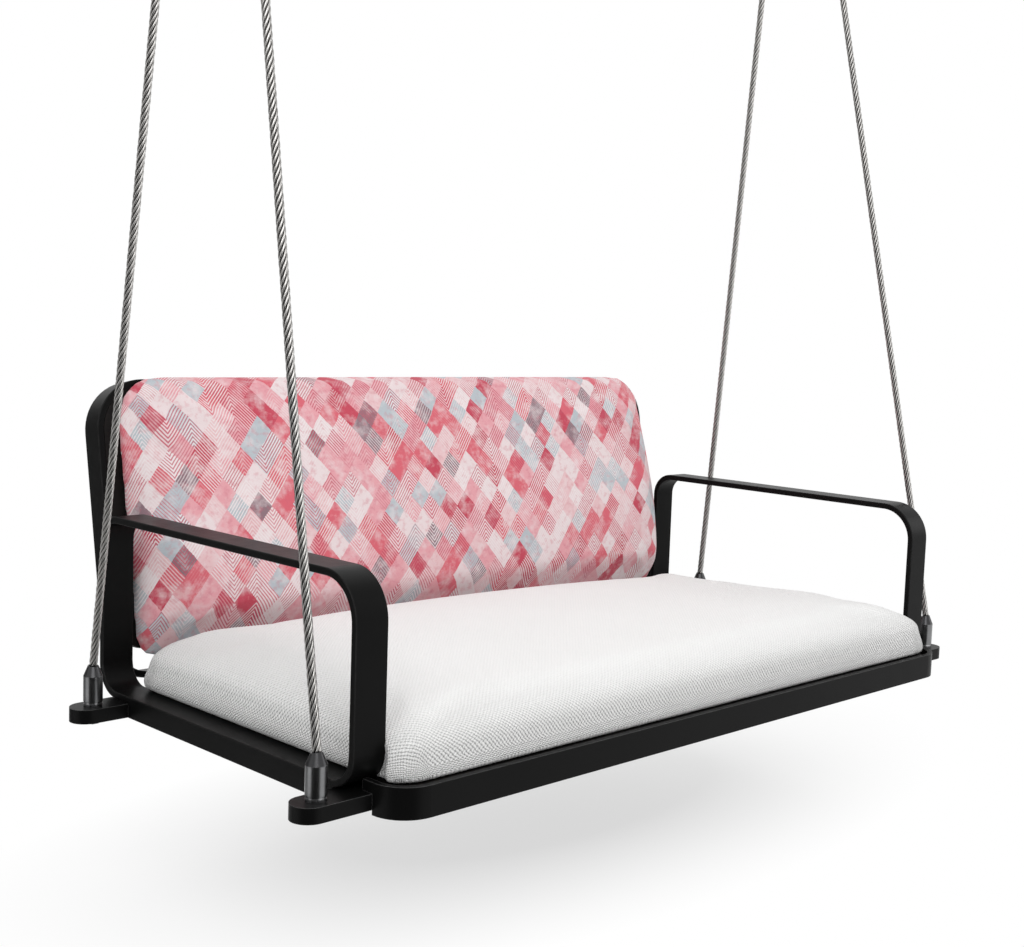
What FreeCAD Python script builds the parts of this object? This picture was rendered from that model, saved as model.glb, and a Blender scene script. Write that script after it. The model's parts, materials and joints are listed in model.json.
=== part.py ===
import FreeCAD
import Part
import Sketcher
import math
import os

# Two-seat hanging swing on four wire ropes. Millimetres, +Z up, front towards -Y.
# The seat is drawn from its own datum: midway between the four rope ferrules, at the lower edge of
# the front apron. Every seat piece is then moved by the same drop and shift, so that the ceiling
# plane between the two brackets is the origin.

DIMENSIONS = {
    # hanging geometry
    "drop": 1470.0,
    "shift": 65.2,
    "pivot_below_ceiling": 55.0,
    "lug_reach": 41.0,
    "lug_overhang": 9.0,
    "rope_y": 265.0,
    "rope_lean": 63.0,
    "meet_y": 85.0,
    "meet_z": 1805.0,
    "pin_below_pivot": 70.0,
    "rope_radius": 5.75,
    # seat frame
    "apron_width": 1220.0,
    "apron_reach": 75.0,
    "apron_lap": 19.0,
    "apron_height": 40.0,
    "apron_thick": 8.0,
    "apron_corner": 48.0,
    "beam_width": 48.0,
    "beam_thick": 20.0,
    "beam_level": 6.0,
    "rail_width": 40.0,
    "rail_x": 200.0,
    # arm loops
    "arm_reveal": 23.0,
    "bar_width": 48.0,
    "bar_thick": 10.0,
    "arm_front_reach": 16.0,
    "arm_back_reach": 59.0,
    "arm_top": 290.0,
    "arm_bend_front": 62.0,
    "arm_bend_back": 42.0,
    "arm_bend_low": 45.0,
    "bar_edge": 1.5,
    "arm_bolt_y": 150.0,
    "bolt_radius": 4.0,
    "bolt_head": 6.5,
    "bolt_head_height": 5.0,
    "bolt_bite": 7.0,
    "bolt_clearance": 0.1,
    # backrest, in its own leaning plane
    "recline": 10.0,
    "back_tuck": 1.0,
    "back_z": 36.0,
    "hoop_reveal": 19.5,
    "hoop_height": 450.0,
    "hoop_depth": 40.0,
    "hoop_thick": 10.0,
    "hoop_bend": 78.0,
    "hoop_bend_low": 52.0,
    "board_thick": 12.0,
    "board_gap": 0.3,
    "board_low": 44.0,
    "gusset_thick": 12.0,
    "gusset_nose": 4.0,
    "gusset_toe": 8.0,
    "tie_low": 160.0,
    "tie_high": 200.0,
    # upholstery
    "back_pad_low": 23.0,
    "back_pad_high": 461.0,
    "back_pad_deep": 49.0,
    "back_pad_corner": 64.0,
    "back_pad_corner_low": 50.0,
    "back_pad_drop": 8.0,
    "back_pad_shoulder": 22.0,
    "back_pad_hem": 7.0,
    "seat_pad_inset": 4.0,
    "seat_pad_high": 91.0,
    "seat_pad_corner": 46.0,
    "seat_pad_drop": 12.0,
    "seat_pad_shoulder": 38.0,
    "seat_pad_hem": 10.0,
    "pad_gap": 0.3,
    "pad_side_gap": 0.5,
    "deck_side_gap": 2.0,
    "deck_front_gap": 1.0,
    "deck_inset": 5.0,
    "deck_thick": 10.0,
    "deck_corner": 38.0,
    # rope ferrules on the lugs
    "ferrule_radius": 13.3,
    "ferrule_high": 57.0,
    "ferrule_cone": 14.0,
    "ferrule_mouth": 6.6,
    "collar_radius": 12.8,
    "collar_high": 2.6,
    "groove_radius": 12.2,
    "groove_high": 4.2,
    "seam_deep": 0.5,
    "seam_high": 0.8,
    "stud_radius": 6.0,
    "stud_clearance": 0.15,
    "lug_nut_half": 9.5,
    "lug_nut_high": 5.5,
    "stud_proud": 0.5,
    # hanger plates, forks and pivots
    "hanger_thick": 10.0,
    "hanger_low_radius": 20.0,
    "hanger_top_radius": 25.0,
    "fork_radius": 12.0,
    "fork_slot": 24.0,
    "fork_crown": 40.0,
    "fork_end": 90.0,
    "fork_tip": 14.0,
    "fork_clearance": 0.3,
    "sleeve_radius": 7.5,
    "sleeve_lap": 6.0,
    "fork_pin_radius": 5.0,
    "fork_pin_long": 30.0,
    "fork_pin_head": 7.5,
    "fork_pin_head_high": 3.0,
    "fork_pin_clearance": 0.05,
    "pivot_radius": 7.0,
    "pivot_clearance": 0.05,
    "pivot_hole_clearance": 0.1,
    "pivot_head": 11.0,
    "pivot_head_high": 8.0,
    "pivot_nut_half": 11.0,
    "pivot_nut_high": 10.0,
    "pivot_proud": 4.0,
    "bush_radius": 10.0,
    "bush_end_gap": 0.3,
    "bush_fit": 0.02,
    # ceiling brackets
    "cheek_gap": 16.0,
    "cheek_thick": 8.0,
    "cheek_width": 56.0,
    "cheek_below_pivot": 24.0,
    "plate_x": 100.0,
    "plate_y": 150.0,
    "plate_thick": 10.0,
    "plate_corner": 16.0,
    "plate_bolt_pitch": 110.0,
    "plate_bolt_radius": 5.5,
    # room that cutting shapes have past what they cut
    "cutter_room": 10.0,
    "cutter_half": 30.0,
}

document = FreeCAD.newDocument("swing_seat")
sheet = document.addObject("Spreadsheet::Sheet", "Sizes")
for row, (alias, number) in enumerate(DIMENSIONS.items(), start=1):
    sheet.set("A%d" % row, alias)
    sheet.set("B%d" % row, str(number))
    sheet.setAlias("B%d" % row, alias)
document.recompute()

nodes = []
X_AXIS = FreeCAD.Vector(1, 0, 0)
Y_AXIS = FreeCAD.Vector(0, 1, 0)
Z_AXIS = FreeCAD.Vector(0, 0, 1)


class Size:
    """A length that keeps its number and the sheet expression that gives it."""

    def __init__(self, number, text):
        self.number = float(number)
        self.text = text

    def joined(self, other, sign, number):
        return Size(number, "(%s %s %s)" % (self.text, sign, other.text))

    def __add__(self, other):
        other = as_size(other)
        return self.joined(other, "+", self.number + other.number)

    def __radd__(self, other):
        return as_size(other) + self

    def __sub__(self, other):
        other = as_size(other)
        return self.joined(other, "-", self.number - other.number)

    def __rsub__(self, other):
        return as_size(other) - self

    def __mul__(self, other):
        other = as_size(other)
        return self.joined(other, "*", self.number * other.number)

    def __rmul__(self, other):
        return as_size(other) * self

    def __truediv__(self, other):
        other = as_size(other)
        return self.joined(other, "/", self.number / other.number)

    def __neg__(self):
        return Size(-self.number, "(0 - %s)" % self.text)


def as_size(value):
    if isinstance(value, Size):
        return value
    return Size(value, "%.10g" % value if value >= 0 else "(0 - %.10g)" % -value)


def of(name):
    return Size(DIMENSIONS[name], "Sizes." + name)


def bind(thing, prop, size):
    size = as_size(size)
    thing.setExpression(prop, size.text)


def move(thing, x=0.0, y=0.0, z=0.0):
    for axis, size in (("x", x), ("y", y), ("z", z)):
        bind(thing, "Placement.Base." + axis, size)


def to_seat(thing, x=0.0, y=0.0, z=0.0):
    """Move a piece drawn at the seat datum to its place below the ceiling."""
    move(thing, as_size(x), as_size(y) - of("shift"), as_size(z) - of("drop"))


def node(thing, name):
    thing.Label = name
    nodes.append((thing, name))
    return thing


def seat_point(x, y, z):
    return FreeCAD.Vector(x, y - DIMENSIONS["shift"], z - DIMENSIONS["drop"])


# Sketch helpers


def new_body(name):
    return document.addObject("PartDesign::Body", name)


def body_sketch(body, role, name):
    sketch = body.newObject("Sketcher::SketchObject", name)
    plane = [item for item in body.Origin.OriginFeatures if item.Role == role][0]
    sketch.AttachmentSupport = [(plane, "")]
    sketch.MapMode = "FlatFace"
    return sketch


def datum(sketch, kind, geometry, point, size):
    """Tie one coordinate of a sketch point to a size."""
    if abs(size.number) < 1e-9:
        axis = -2 if kind == "DistanceX" else -1
        sketch.addConstraint(Sketcher.Constraint("PointOnObject", geometry, point, axis))
        return
    index = sketch.addConstraint(Sketcher.Constraint(kind, -1, 1, geometry, point, size.number))
    sketch.setExpression("Constraints[%d]" % index, size.text)


def radius_datum(sketch, geometry, size):
    index = sketch.addConstraint(Sketcher.Constraint("Radius", geometry, size.number))
    sketch.setExpression("Constraints[%d]" % index, size.text)


def rounded_outline(sketch, left, right, low, high, corners):
    """A closed outline with straight sides and four bends, lower left first, anticlockwise."""
    left, right, low, high = [as_size(item) for item in (left, right, low, high)]
    bends = [as_size(item) for item in corners]
    x0, x1, y0, y1 = left.number, right.number, low.number, high.number
    r = [item.number for item in bends]
    vector = FreeCAD.Vector
    quarter = math.pi / 2

    def arc(x, y, radius, turn):
        circle = Part.Circle(vector(x, y, 0), Z_AXIS, radius)
        return Part.ArcOfCircle(circle, turn * quarter, (turn + 1) * quarter)

    pieces = (
        Part.LineSegment(vector(x0 + r[0], y0, 0), vector(x1 - r[1], y0, 0)),
        arc(x1 - r[1], y0 + r[1], r[1], -1),
        Part.LineSegment(vector(x1, y0 + r[1], 0), vector(x1, y1 - r[2], 0)),
        arc(x1 - r[2], y1 - r[2], r[2], 0),
        Part.LineSegment(vector(x1 - r[2], y1, 0), vector(x0 + r[3], y1, 0)),
        arc(x0 + r[3], y1 - r[3], r[3], 1),
        Part.LineSegment(vector(x0, y1 - r[3], 0), vector(x0, y0 + r[0], 0)),
        arc(x0 + r[0], y0 + r[0], r[0], 2),
    )
    ids = [sketch.addGeometry(piece, False) for piece in pieces]
    for here, after in zip(ids, ids[1:] + ids[:1]):
        sketch.addConstraint(Sketcher.Constraint("Tangent", here, 2, after, 1))
    for index, kind in ((0, "Horizontal"), (2, "Vertical"), (4, "Horizontal"), (6, "Vertical")):
        sketch.addConstraint(Sketcher.Constraint(kind, ids[index]))
    for index, bend in ((7, bends[0]), (1, bends[1]), (3, bends[2]), (5, bends[3])):
        radius_datum(sketch, ids[index], bend)
    datum(sketch, "DistanceY", ids[0], 1, low)
    datum(sketch, "DistanceX", ids[2], 1, right)
    datum(sketch, "DistanceY", ids[4], 1, high)
    datum(sketch, "DistanceX", ids[6], 1, left)


def polygon(sketch, points):
    """A closed outline of straight lines whose corners are all tied to sizes."""
    corners = [(as_size(x), as_size(y)) for x, y in points]
    ids = []
    for here, after in zip(corners, corners[1:] + corners[:1]):
        start = FreeCAD.Vector(here[0].number, here[1].number, 0)
        end = FreeCAD.Vector(after[0].number, after[1].number, 0)
        ids.append(sketch.addGeometry(Part.LineSegment(start, end), False))
    for here, after in zip(ids, ids[1:] + ids[:1]):
        sketch.addConstraint(Sketcher.Constraint("Coincident", here, 2, after, 1))
    for index, (x, y) in zip(ids, corners):
        datum(sketch, "DistanceX", index, 1, x)
        datum(sketch, "DistanceY", index, 1, y)


def circle(sketch, x, y, radius):
    x, y, radius = as_size(x), as_size(y), as_size(radius)
    shape = Part.Circle(FreeCAD.Vector(x.number, y.number, 0), Z_AXIS, radius.number)
    index = sketch.addGeometry(shape, False)
    radius_datum(sketch, index, radius)
    datum(sketch, "DistanceX", index, 3, x)
    datum(sketch, "DistanceY", index, 3, y)


def pad(body, sketch, length):
    feature = body.newObject("PartDesign::Pad", "Pad")
    feature.Profile = sketch
    bind(feature, "Length", length)
    sketch.Visibility = False
    return feature


def ease(body, base, radius):
    """Round every edge of a bar a little, as rolled flat bar is."""
    document.recompute()
    feature = body.newObject("PartDesign::Fillet", "Ease")
    feature.Base = (base, ["Edge1"])
    feature.UseAllEdges = True
    bind(feature, "Radius", radius)
    return feature


def revolve(body, sketch):
    feature = body.newObject("PartDesign::Revolution", "Turn")
    feature.Profile = sketch
    feature.ReferenceAxis = (sketch, ["V_Axis"])
    feature.Angle = 360
    return feature


def cylinder(name, radius, height):
    feature = document.addObject("Part::Cylinder", name)
    bind(feature, "Radius", radius)
    bind(feature, "Height", height)
    return feature


def box(name, length, width, height):
    feature = document.addObject("Part::Box", name)
    bind(feature, "Length", length)
    bind(feature, "Width", width)
    bind(feature, "Height", height)
    return feature


def hexagon(name, half, height):
    feature = document.addObject("Part::Prism", name)
    feature.Polygon = 6
    bind(feature, "Circumradius", half)
    bind(feature, "Height", height)
    return feature


def cut(name, base, *tools):
    for number, tool in enumerate(tools):
        feature = document.addObject("Part::Cut", "%s_cut_%d" % (name, number))
        feature.Base = base
        feature.Tool = tool
        base = feature
    return base


def fuse(name, *shapes):
    feature = document.addObject("Part::MultiFuse", name + "_fuse")
    feature.Shapes = list(shapes)
    feature.Refine = True
    return feature


def place(thing, point, rotation):
    thing.Placement = FreeCAD.Placement(point, rotation)


def frame_of(x_axis, z_axis):
    """Rotation that sends local X and Z to two directions at right angles."""
    y_axis = z_axis.cross(x_axis)
    return FreeCAD.Rotation(x_axis, y_axis, z_axis, "ZXY")


# Shared levels

beam_top = of("beam_level") + of("beam_thick")
deck_top = beam_top + of("deck_thick")
mouth_level = beam_top + of("ferrule_high")
arm_outer = of("apron_width") / 2 + of("arm_reveal")
arm_inner = arm_outer - of("bar_width")
arm_middle = arm_outer - of("bar_width") / 2
arm_front = of("rope_y") + of("arm_front_reach")
arm_back = of("rope_y") + of("arm_back_reach")
rope_x = arm_outer + of("lug_reach")
apron_front = of("rope_y") + of("apron_reach")
deck_half = arm_inner - of("deck_side_gap")
deck_front = apron_front - of("apron_thick") - of("deck_front_gap")
pad_half = arm_inner - of("pad_side_gap")
back_y = arm_back - of("back_tuck")
hoop_half = pad_half + of("hoop_reveal")
beam_inner_y = of("rope_y") - of("beam_width") / 2
beam_outer_y = of("rope_y") + of("beam_width") / 2
pivot_level = of("drop") - of("pivot_below_ceiling")
pin_level = pivot_level - of("pin_below_pivot")
cutter = of("cutter_half") * 2

SIDES = (("left", -1), ("right", 1))
ENDS = (("front", -1), ("rear", 1))
ROPES = [(end, side, sign_y, sign_x) for end, sign_y in ENDS for side, sign_x in SIDES]


# Rope lines: from the ferrule mouth towards the point where both ropes of a side would meet


def mouth_point(sign_x, sign_y):
    return FreeCAD.Vector(sign_x * rope_x.number, sign_y * DIMENSIONS["rope_y"], mouth_level.number)


def rope_direction(sign_x, sign_y):
    meet_x = rope_x.number - DIMENSIONS["rope_lean"]
    meet = FreeCAD.Vector(sign_x * meet_x, DIMENSIONS["meet_y"], DIMENSIONS["meet_z"])
    return (meet - mouth_point(sign_x, sign_y)).normalize()


def pin_point(sign_x, sign_y):
    start = mouth_point(sign_x, sign_y)
    direction = rope_direction(sign_x, sign_y)
    return start + direction * ((pin_level.number - start.z) / direction.z)


def plane_normal(sign_x):
    normal = rope_direction(sign_x, 1).cross(rope_direction(sign_x, -1))
    normal = normal if normal.x > 0 else normal * -1
    return normal.normalize()


def pivot_point(sign_x):
    """Where the rope plane of a side crosses the pivot axis."""
    pin = pin_point(sign_x, 1)
    normal = plane_normal(sign_x)
    rise = pivot_level.number - pin.z
    return FreeCAD.Vector(pin.x - rise * normal.z / normal.x, DIMENSIONS["shift"], pivot_level.number)


bracket_x = pivot_point(1).x

# Seat frame: two cross beams whose round ends are the lugs, two side beams, two deck rails

for end, sign_y in ENDS:
    body = new_body("beam_" + end)
    sketch = body_sketch(body, "XY_Plane", "beam_sketch_" + end)
    half = rope_x + of("beam_width") / 2 + of("lug_overhang")
    bend = of("beam_width") / 2 - 0.01
    rounded_outline(sketch, -half, half, -of("beam_width") / 2, of("beam_width") / 2, [bend] * 4)
    for side, sign_x in SIDES:
        circle(sketch, rope_x * sign_x, 0, of("stud_radius") + of("stud_clearance"))
    pad(body, sketch, of("beam_thick"))
    to_seat(body, 0, of("rope_y") * sign_y, of("beam_level"))
    node(body, "cross_beam_" + end)

for side, sign_x in SIDES:
    bar = box("side_bar_" + side, of("bar_width"), beam_inner_y * 2, of("beam_thick"))
    start = -arm_outer if sign_x < 0 else arm_inner
    to_seat(bar, start, -beam_inner_y, of("beam_level"))
    middle = arm_middle * sign_x
    holes = []
    for end, sign_y in ENDS:
        hole_radius = of("bolt_radius") + of("bolt_clearance")
        hole = cylinder("side_hole_%s_%s" % (end, side), hole_radius, of("beam_thick"))
        to_seat(hole, middle, of("arm_bolt_y") * sign_y, of("beam_level"))
        holes.append(hole)
    node(cut("side_beam_" + side, bar, *holes), "side_beam_" + side)

    rail = box("rail_" + side, of("rail_width"), beam_inner_y * 2, of("beam_thick"))
    to_seat(rail, of("rail_x") * sign_x - of("rail_width") / 2, -beam_inner_y, of("beam_level"))
    node(rail, "deck_rail_" + side)

# Front apron: a bent strip on edge whose ends lap over the front beam

body = new_body("apron_ring")
sketch = body_sketch(body, "XY_Plane", "apron_sketch")
half = of("apron_width") / 2
wall = of("apron_thick")
bend = of("apron_corner")
over = of("cutter_room")
rounded_outline(sketch, -half, half, -apron_front, apron_front, [bend] * 4)
inner_bends = [bend - wall] * 4
rounded_outline(sketch, -half + wall, half - wall, -apron_front + wall, apron_front - wall, inner_bends)
pad(body, sketch, of("apron_height"))
to_seat(body)
across = of("apron_width") + over * 2
behind = box("apron_behind", across, apron_front * 2, of("apron_height") + over * 2)
to_seat(behind, -half - over, of("apron_lap") - beam_outer_y, -over)
lap = box("apron_lap_cut", across, apron_front, beam_top + over)
to_seat(lap, -half - over, -beam_outer_y, -over)
node(cut("front_apron", body, behind, lap), "front_apron")

# Arm loops: flat bar bent to a closed loop, bolted from below through the side beams

for side, sign_x in SIDES:
    body = new_body("arm_" + side)
    sketch = body_sketch(body, "YZ_Plane", "arm_sketch_" + side)
    thick = of("bar_thick")
    low = of("arm_bend_low")
    bends = [low, low, of("arm_bend_back"), of("arm_bend_front")]
    rounded_outline(sketch, -arm_front, arm_back, beam_top, of("arm_top"), bends)
    rounded_outline(
        sketch,
        -arm_front + thick,
        arm_back - thick,
        beam_top + thick,
        of("arm_top") - thick,
        [item - thick for item in bends],
    )
    bar = pad(body, sketch, of("bar_width"))
    ease(body, bar, of("bar_edge"))
    start = -arm_outer if sign_x < 0 else arm_inner
    to_seat(body, start)
    middle = arm_middle * sign_x
    holes = []
    for end, sign_y in ENDS:
        tag = "%s_%s" % (end, side)
        hole = cylinder("arm_hole_" + tag, of("bolt_radius") + of("bolt_clearance"), of("bolt_bite") + 1)
        to_seat(hole, middle, of("arm_bolt_y") * sign_y, beam_top - 0.5)
        holes.append(hole)

        shank = cylinder("arm_shank_" + tag, of("bolt_radius"), of("beam_thick") + of("bolt_bite"))
        to_seat(shank, middle, of("arm_bolt_y") * sign_y, of("beam_level"))
        head = hexagon("arm_head_" + tag, of("bolt_head"), of("bolt_head_height"))
        to_seat(head, middle, of("arm_bolt_y") * sign_y, of("beam_level") - of("bolt_head_height"))
        node(fuse("arm_bolt_" + tag, shank, head), "arm_bolt_" + tag)
    node(cut("arm_loop_" + side, body, *holes), "arm_loop_" + side)

# Deck board and seat cushion

body = new_body("deck")
sketch = body_sketch(body, "XY_Plane", "deck_sketch")
deck_back = beam_outer_y - of("deck_inset")
rounded_outline(sketch, -deck_half, deck_half, -deck_front, deck_back, [of("deck_corner")] * 4)
pad(body, sketch, of("deck_thick"))
to_seat(body, 0, 0, beam_top)
node(body, "seat_deck")


def crowned_pad(name, half, low, high, deep, corners, drop, shoulder, hem):
    """A padded form: an outline with a domed face, a round shoulder and a drawn-in hem."""
    body = new_body(name + "_block")
    sketch = body_sketch(body, "XY_Plane", name + "_outline")
    rounded_outline(sketch, -half, half, low, high, corners)
    pad(body, sketch, deep)
    rise = drop * 2
    middle = (high - low) / 2
    long_bend = (half * half + drop * drop) / rise
    short_bend = (middle * middle + drop * drop) / rise
    dome = document.addObject("Part::Torus", name + "_dome")
    bind(dome, "Radius1", long_bend - short_bend)
    bind(dome, "Radius2", short_bend)
    place(dome, FreeCAD.Vector(), FreeCAD.Rotation(X_AXIS, 90))
    move(dome, 0, (high + low) / 2, deep - long_bend)
    crowned = document.addObject("Part::Common", name + "_crowned")
    crowned.Base = body
    crowned.Tool = dome
    document.recompute()
    form = new_body(name + "_form")
    form.BaseFeature = crowned
    document.recompute()
    for radius, wanted in ((shoulder, "top"), (hem, "bottom")):
        solid = form.Tip
        names = []
        for index, edge in enumerate(solid.Shape.Edges, start=1):
            flat = edge.BoundBox.ZLength < deep.number / 2
            is_top = edge.CenterOfMass.z > deep.number / 2
            if flat and is_top == (wanted == "top") and len(edge.Vertexes) == 2:
                names.append("Edge%d" % index)
        feature = form.newObject("PartDesign::Fillet", name + "_" + wanted)
        feature.Base = (solid, names)
        bind(feature, "Radius", radius)
        document.recompute()
    return form


form = crowned_pad(
    "seat_cushion",
    pad_half,
    -deck_front,
    beam_outer_y - of("seat_pad_inset"),
    of("seat_pad_high"),
    [of("seat_pad_corner")] * 4,
    of("seat_pad_drop"),
    of("seat_pad_shoulder"),
    of("seat_pad_hem"),
)
to_seat(form, 0, 0, deck_top + of("pad_gap"))
node(form, "seat_cushion")

# Backrest: hoop, board and cushion in one leaning plane; local Z points to the front

lean = FreeCAD.Rotation(X_AXIS, 90 - DIMENSIONS["recline"])


def to_back(thing):
    """Put a piece drawn in the plane of the backrest on the seat."""
    place(thing, FreeCAD.Vector(0, 0, 0), lean)
    to_seat(thing, 0, back_y, of("back_z"))


body = new_body("hoop")
sketch = body_sketch(body, "XY_Plane", "hoop_sketch")
half = hoop_half
thick = of("hoop_thick")
bends = [of("hoop_bend_low"), of("hoop_bend_low"), of("hoop_bend"), of("hoop_bend")]
rounded_outline(sketch, -half, half, 0, of("hoop_height"), bends)
inner = [item - thick for item in bends]
rounded_outline(sketch, -half + thick, half - thick, thick, of("hoop_height") - thick, inner)
bar = pad(body, sketch, of("hoop_depth"))
bar.Reversed = True
ease(body, bar, of("bar_edge"))
to_back(body)
node(body, "back_hoop")

body = new_body("board")
sketch = body_sketch(body, "XY_Plane", "board_sketch")
edge = thick + of("board_gap")
board_corners = [item - of("board_gap") for item in inner]
board_high = of("hoop_height") - edge
rounded_outline(sketch, -half + edge, half - edge, of("board_low"), board_high, board_corners)
panel = pad(body, sketch, of("board_thick"))
panel.Reversed = True
to_back(body)
node(body, "back_board")

pad_corner = of("back_pad_corner")
pad_corner_low = of("back_pad_corner_low")
form = crowned_pad(
    "back_cushion",
    pad_half,
    of("back_pad_low"),
    of("back_pad_high"),
    of("back_pad_deep"),
    [pad_corner_low, pad_corner_low, pad_corner, pad_corner],
    of("back_pad_drop"),
    of("back_pad_shoulder"),
    of("back_pad_hem"),
)
slope = math.tan(math.radians(DIMENSIONS["recline"]))
gap = DIMENSIONS["pad_gap"]
place(form, FreeCAD.Vector(0, 0, 0), lean)
to_seat(
    form,
    0,
    back_y - gap * math.cos(math.radians(DIMENSIONS["recline"])),
    of("back_z") + gap * math.sin(math.radians(DIMENSIONS["recline"])),
)
node(form, "back_cushion")

# Gussets from the rear beam to the hoop, and ties from the arm posts to the hoop

hoop_back = back_y + of("hoop_depth") * math.cos(math.radians(DIMENSIONS["recline"]))
hoop_back_z = of("back_z") - of("hoop_depth") * math.sin(math.radians(DIMENSIONS["recline"]))
gusset_pitch = hoop_half / 2
for number in range(4):
    body = new_body("gusset_%d" % (number + 1))
    sketch = body_sketch(body, "YZ_Plane", "gusset_sketch_%d" % (number + 1))
    polygon(
        sketch,
        (
            (beam_outer_y, of("beam_level")),
            (back_y, of("beam_level")),
            (hoop_back, hoop_back_z - of("gusset_toe")),
            (hoop_back, hoop_back_z),
            (back_y, of("back_z")),
            (back_y - of("gusset_nose"), of("back_z")),
            (beam_outer_y, beam_top),
        ),
    )
    pad(body, sketch, of("gusset_thick"))
    to_seat(body, gusset_pitch * (number - 1.5) - of("gusset_thick") / 2)
    node(body, "back_gusset_%d" % (number + 1))

for side, sign_x in SIDES:
    body = new_body("tie_" + side)
    sketch = body_sketch(body, "YZ_Plane", "tie_sketch_" + side)
    polygon(
        sketch,
        (
            (arm_back, of("tie_low")),
            (back_y + (of("tie_low") - of("back_z")) * slope, of("tie_low")),
            (back_y + (of("tie_high") - of("back_z")) * slope, of("tie_high")),
            (arm_back, of("tie_high")),
        ),
    )
    pad(body, sketch, of("hoop_thick"))
    start = -hoop_half if sign_x < 0 else hoop_half - of("hoop_thick")
    to_seat(body, start)
    node(body, "back_tie_" + side)

# Ferrules with their studs, and the nuts under the lugs

stud_long = of("beam_thick") + of("lug_nut_high") + of("stud_proud")
for end, side, sign_y, sign_x in ROPES:
    tag = "%s_%s" % (end, side)
    body = new_body("socket_" + tag)
    sketch = body_sketch(body, "XZ_Plane", "socket_sketch_" + tag)
    shoulder = of("ferrule_high") - of("ferrule_cone")
    radius = of("ferrule_radius")
    seam = radius - of("seam_deep")
    polygon(
        sketch,
        (
            (0, -stud_long),
            (of("stud_radius"), -stud_long),
            (of("stud_radius"), 0),
            (of("collar_radius"), 0),
            (of("collar_radius"), of("collar_high")),
            (of("groove_radius"), of("collar_high")),
            (of("groove_radius"), of("collar_high") + of("groove_high")),
            (radius, of("collar_high") + of("groove_high")),
            (radius, shoulder - of("seam_high")),
            (seam, shoulder - of("seam_high")),
            (seam, shoulder),
            (radius, shoulder),
            (of("ferrule_mouth"), of("ferrule_high") + 2),
            (0, of("ferrule_high") + 2),
        ),
    )
    revolve(body, sketch)
    to_seat(body, rope_x * sign_x, of("rope_y") * sign_y, beam_top)
    top = box("socket_top_" + tag, cutter, cutter, of("cutter_half"))
    direction = rope_direction(sign_x, sign_y)
    turn = FreeCAD.Rotation(Z_AXIS, direction)
    point = mouth_point(sign_x, sign_y)
    corner = point + turn.multVec(FreeCAD.Vector(-1, -1, 0)) * DIMENSIONS["cutter_half"]
    place(top, seat_point(corner.x, corner.y, corner.z), turn)
    node(cut("ferrule_" + tag, body, top), "ferrule_" + tag)

    nut = hexagon("nut_" + tag, of("lug_nut_half"), of("lug_nut_high"))
    to_seat(nut, rope_x * sign_x, of("rope_y") * sign_y, of("beam_level") - of("lug_nut_high"))
    bore = cylinder("nut_bore_" + tag, of("stud_radius") + of("stud_clearance"), of("lug_nut_high") + 2)
    to_seat(bore, rope_x * sign_x, of("rope_y") * sign_y, of("beam_level") - of("lug_nut_high") - 1)
    node(cut("lug_nut_" + tag, nut, bore), "lug_nut_" + tag)

# Ropes, and the forks that hold them to the hanger plates

for end, side, sign_y, sign_x in ROPES:
    tag = "%s_%s" % (end, side)
    direction = rope_direction(sign_x, sign_y)
    start = mouth_point(sign_x, sign_y)
    pin = pin_point(sign_x, sign_y)
    long = (pin - start).Length - DIMENSIONS["fork_end"]
    rope = cylinder("line_" + tag, of("rope_radius"), long)
    place(rope, seat_point(start.x, start.y, start.z), FreeCAD.Rotation(Z_AXIS, direction))
    node(rope, "rope_" + tag)

    turn = frame_of(plane_normal(sign_x), direction * -1)
    base = seat_point(pin.x, pin.y, pin.z)
    stem = cylinder("fork_stem_" + tag, of("fork_radius"), of("fork_crown") + of("fork_tip"))
    place(stem, base + turn.multVec(Z_AXIS) * -DIMENSIONS["fork_tip"], turn)
    sleeve_long = of("fork_end") - of("fork_slot") - of("sleeve_lap")
    sleeve = cylinder("fork_sleeve_" + tag, of("sleeve_radius"), sleeve_long)
    sleeve_start = DIMENSIONS["fork_slot"] + DIMENSIONS["sleeve_lap"]
    place(sleeve, base + turn.multVec(Z_AXIS) * sleeve_start, turn)
    slot_wide = of("hanger_thick") + of("fork_clearance") * 2
    slot_deep = of("fork_slot") + of("fork_tip") + of("cutter_room")
    slot = box("fork_slot_" + tag, slot_wide, cutter, slot_deep)
    slot_start = -DIMENSIONS["fork_tip"] - DIMENSIONS["cutter_room"]
    offset = FreeCAD.Vector(-slot_wide.number / 2, -DIMENSIONS["cutter_half"], slot_start)
    place(slot, base + turn.multVec(offset), turn)
    across = turn.multiply(FreeCAD.Rotation(Y_AXIS, 90))
    bore = cylinder("fork_bore_" + tag, of("fork_pin_radius") + of("fork_pin_clearance"), cutter)
    place(bore, base - turn.multVec(X_AXIS) * DIMENSIONS["cutter_half"], across)
    node(cut("fork_" + tag, fuse("fork_" + tag, stem, sleeve), slot, bore), "fork_" + tag)

    shaft = cylinder("fork_pin_shaft_" + tag, of("fork_pin_radius"), of("fork_pin_long"))
    place(shaft, base + turn.multVec(X_AXIS) * -(DIMENSIONS["fork_pin_long"] / 2), across)
    head = cylinder("fork_pin_head_" + tag, of("fork_pin_head"), of("fork_pin_head_high"))
    place(head, base + turn.multVec(X_AXIS) * DIMENSIONS["fork_radius"], across)
    node(fuse("fork_pin_" + tag, shaft, head), "fork_pin_" + tag)

# Hanger plates: three round corners joined by tangents, in the plane of the two ropes of a side


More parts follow.
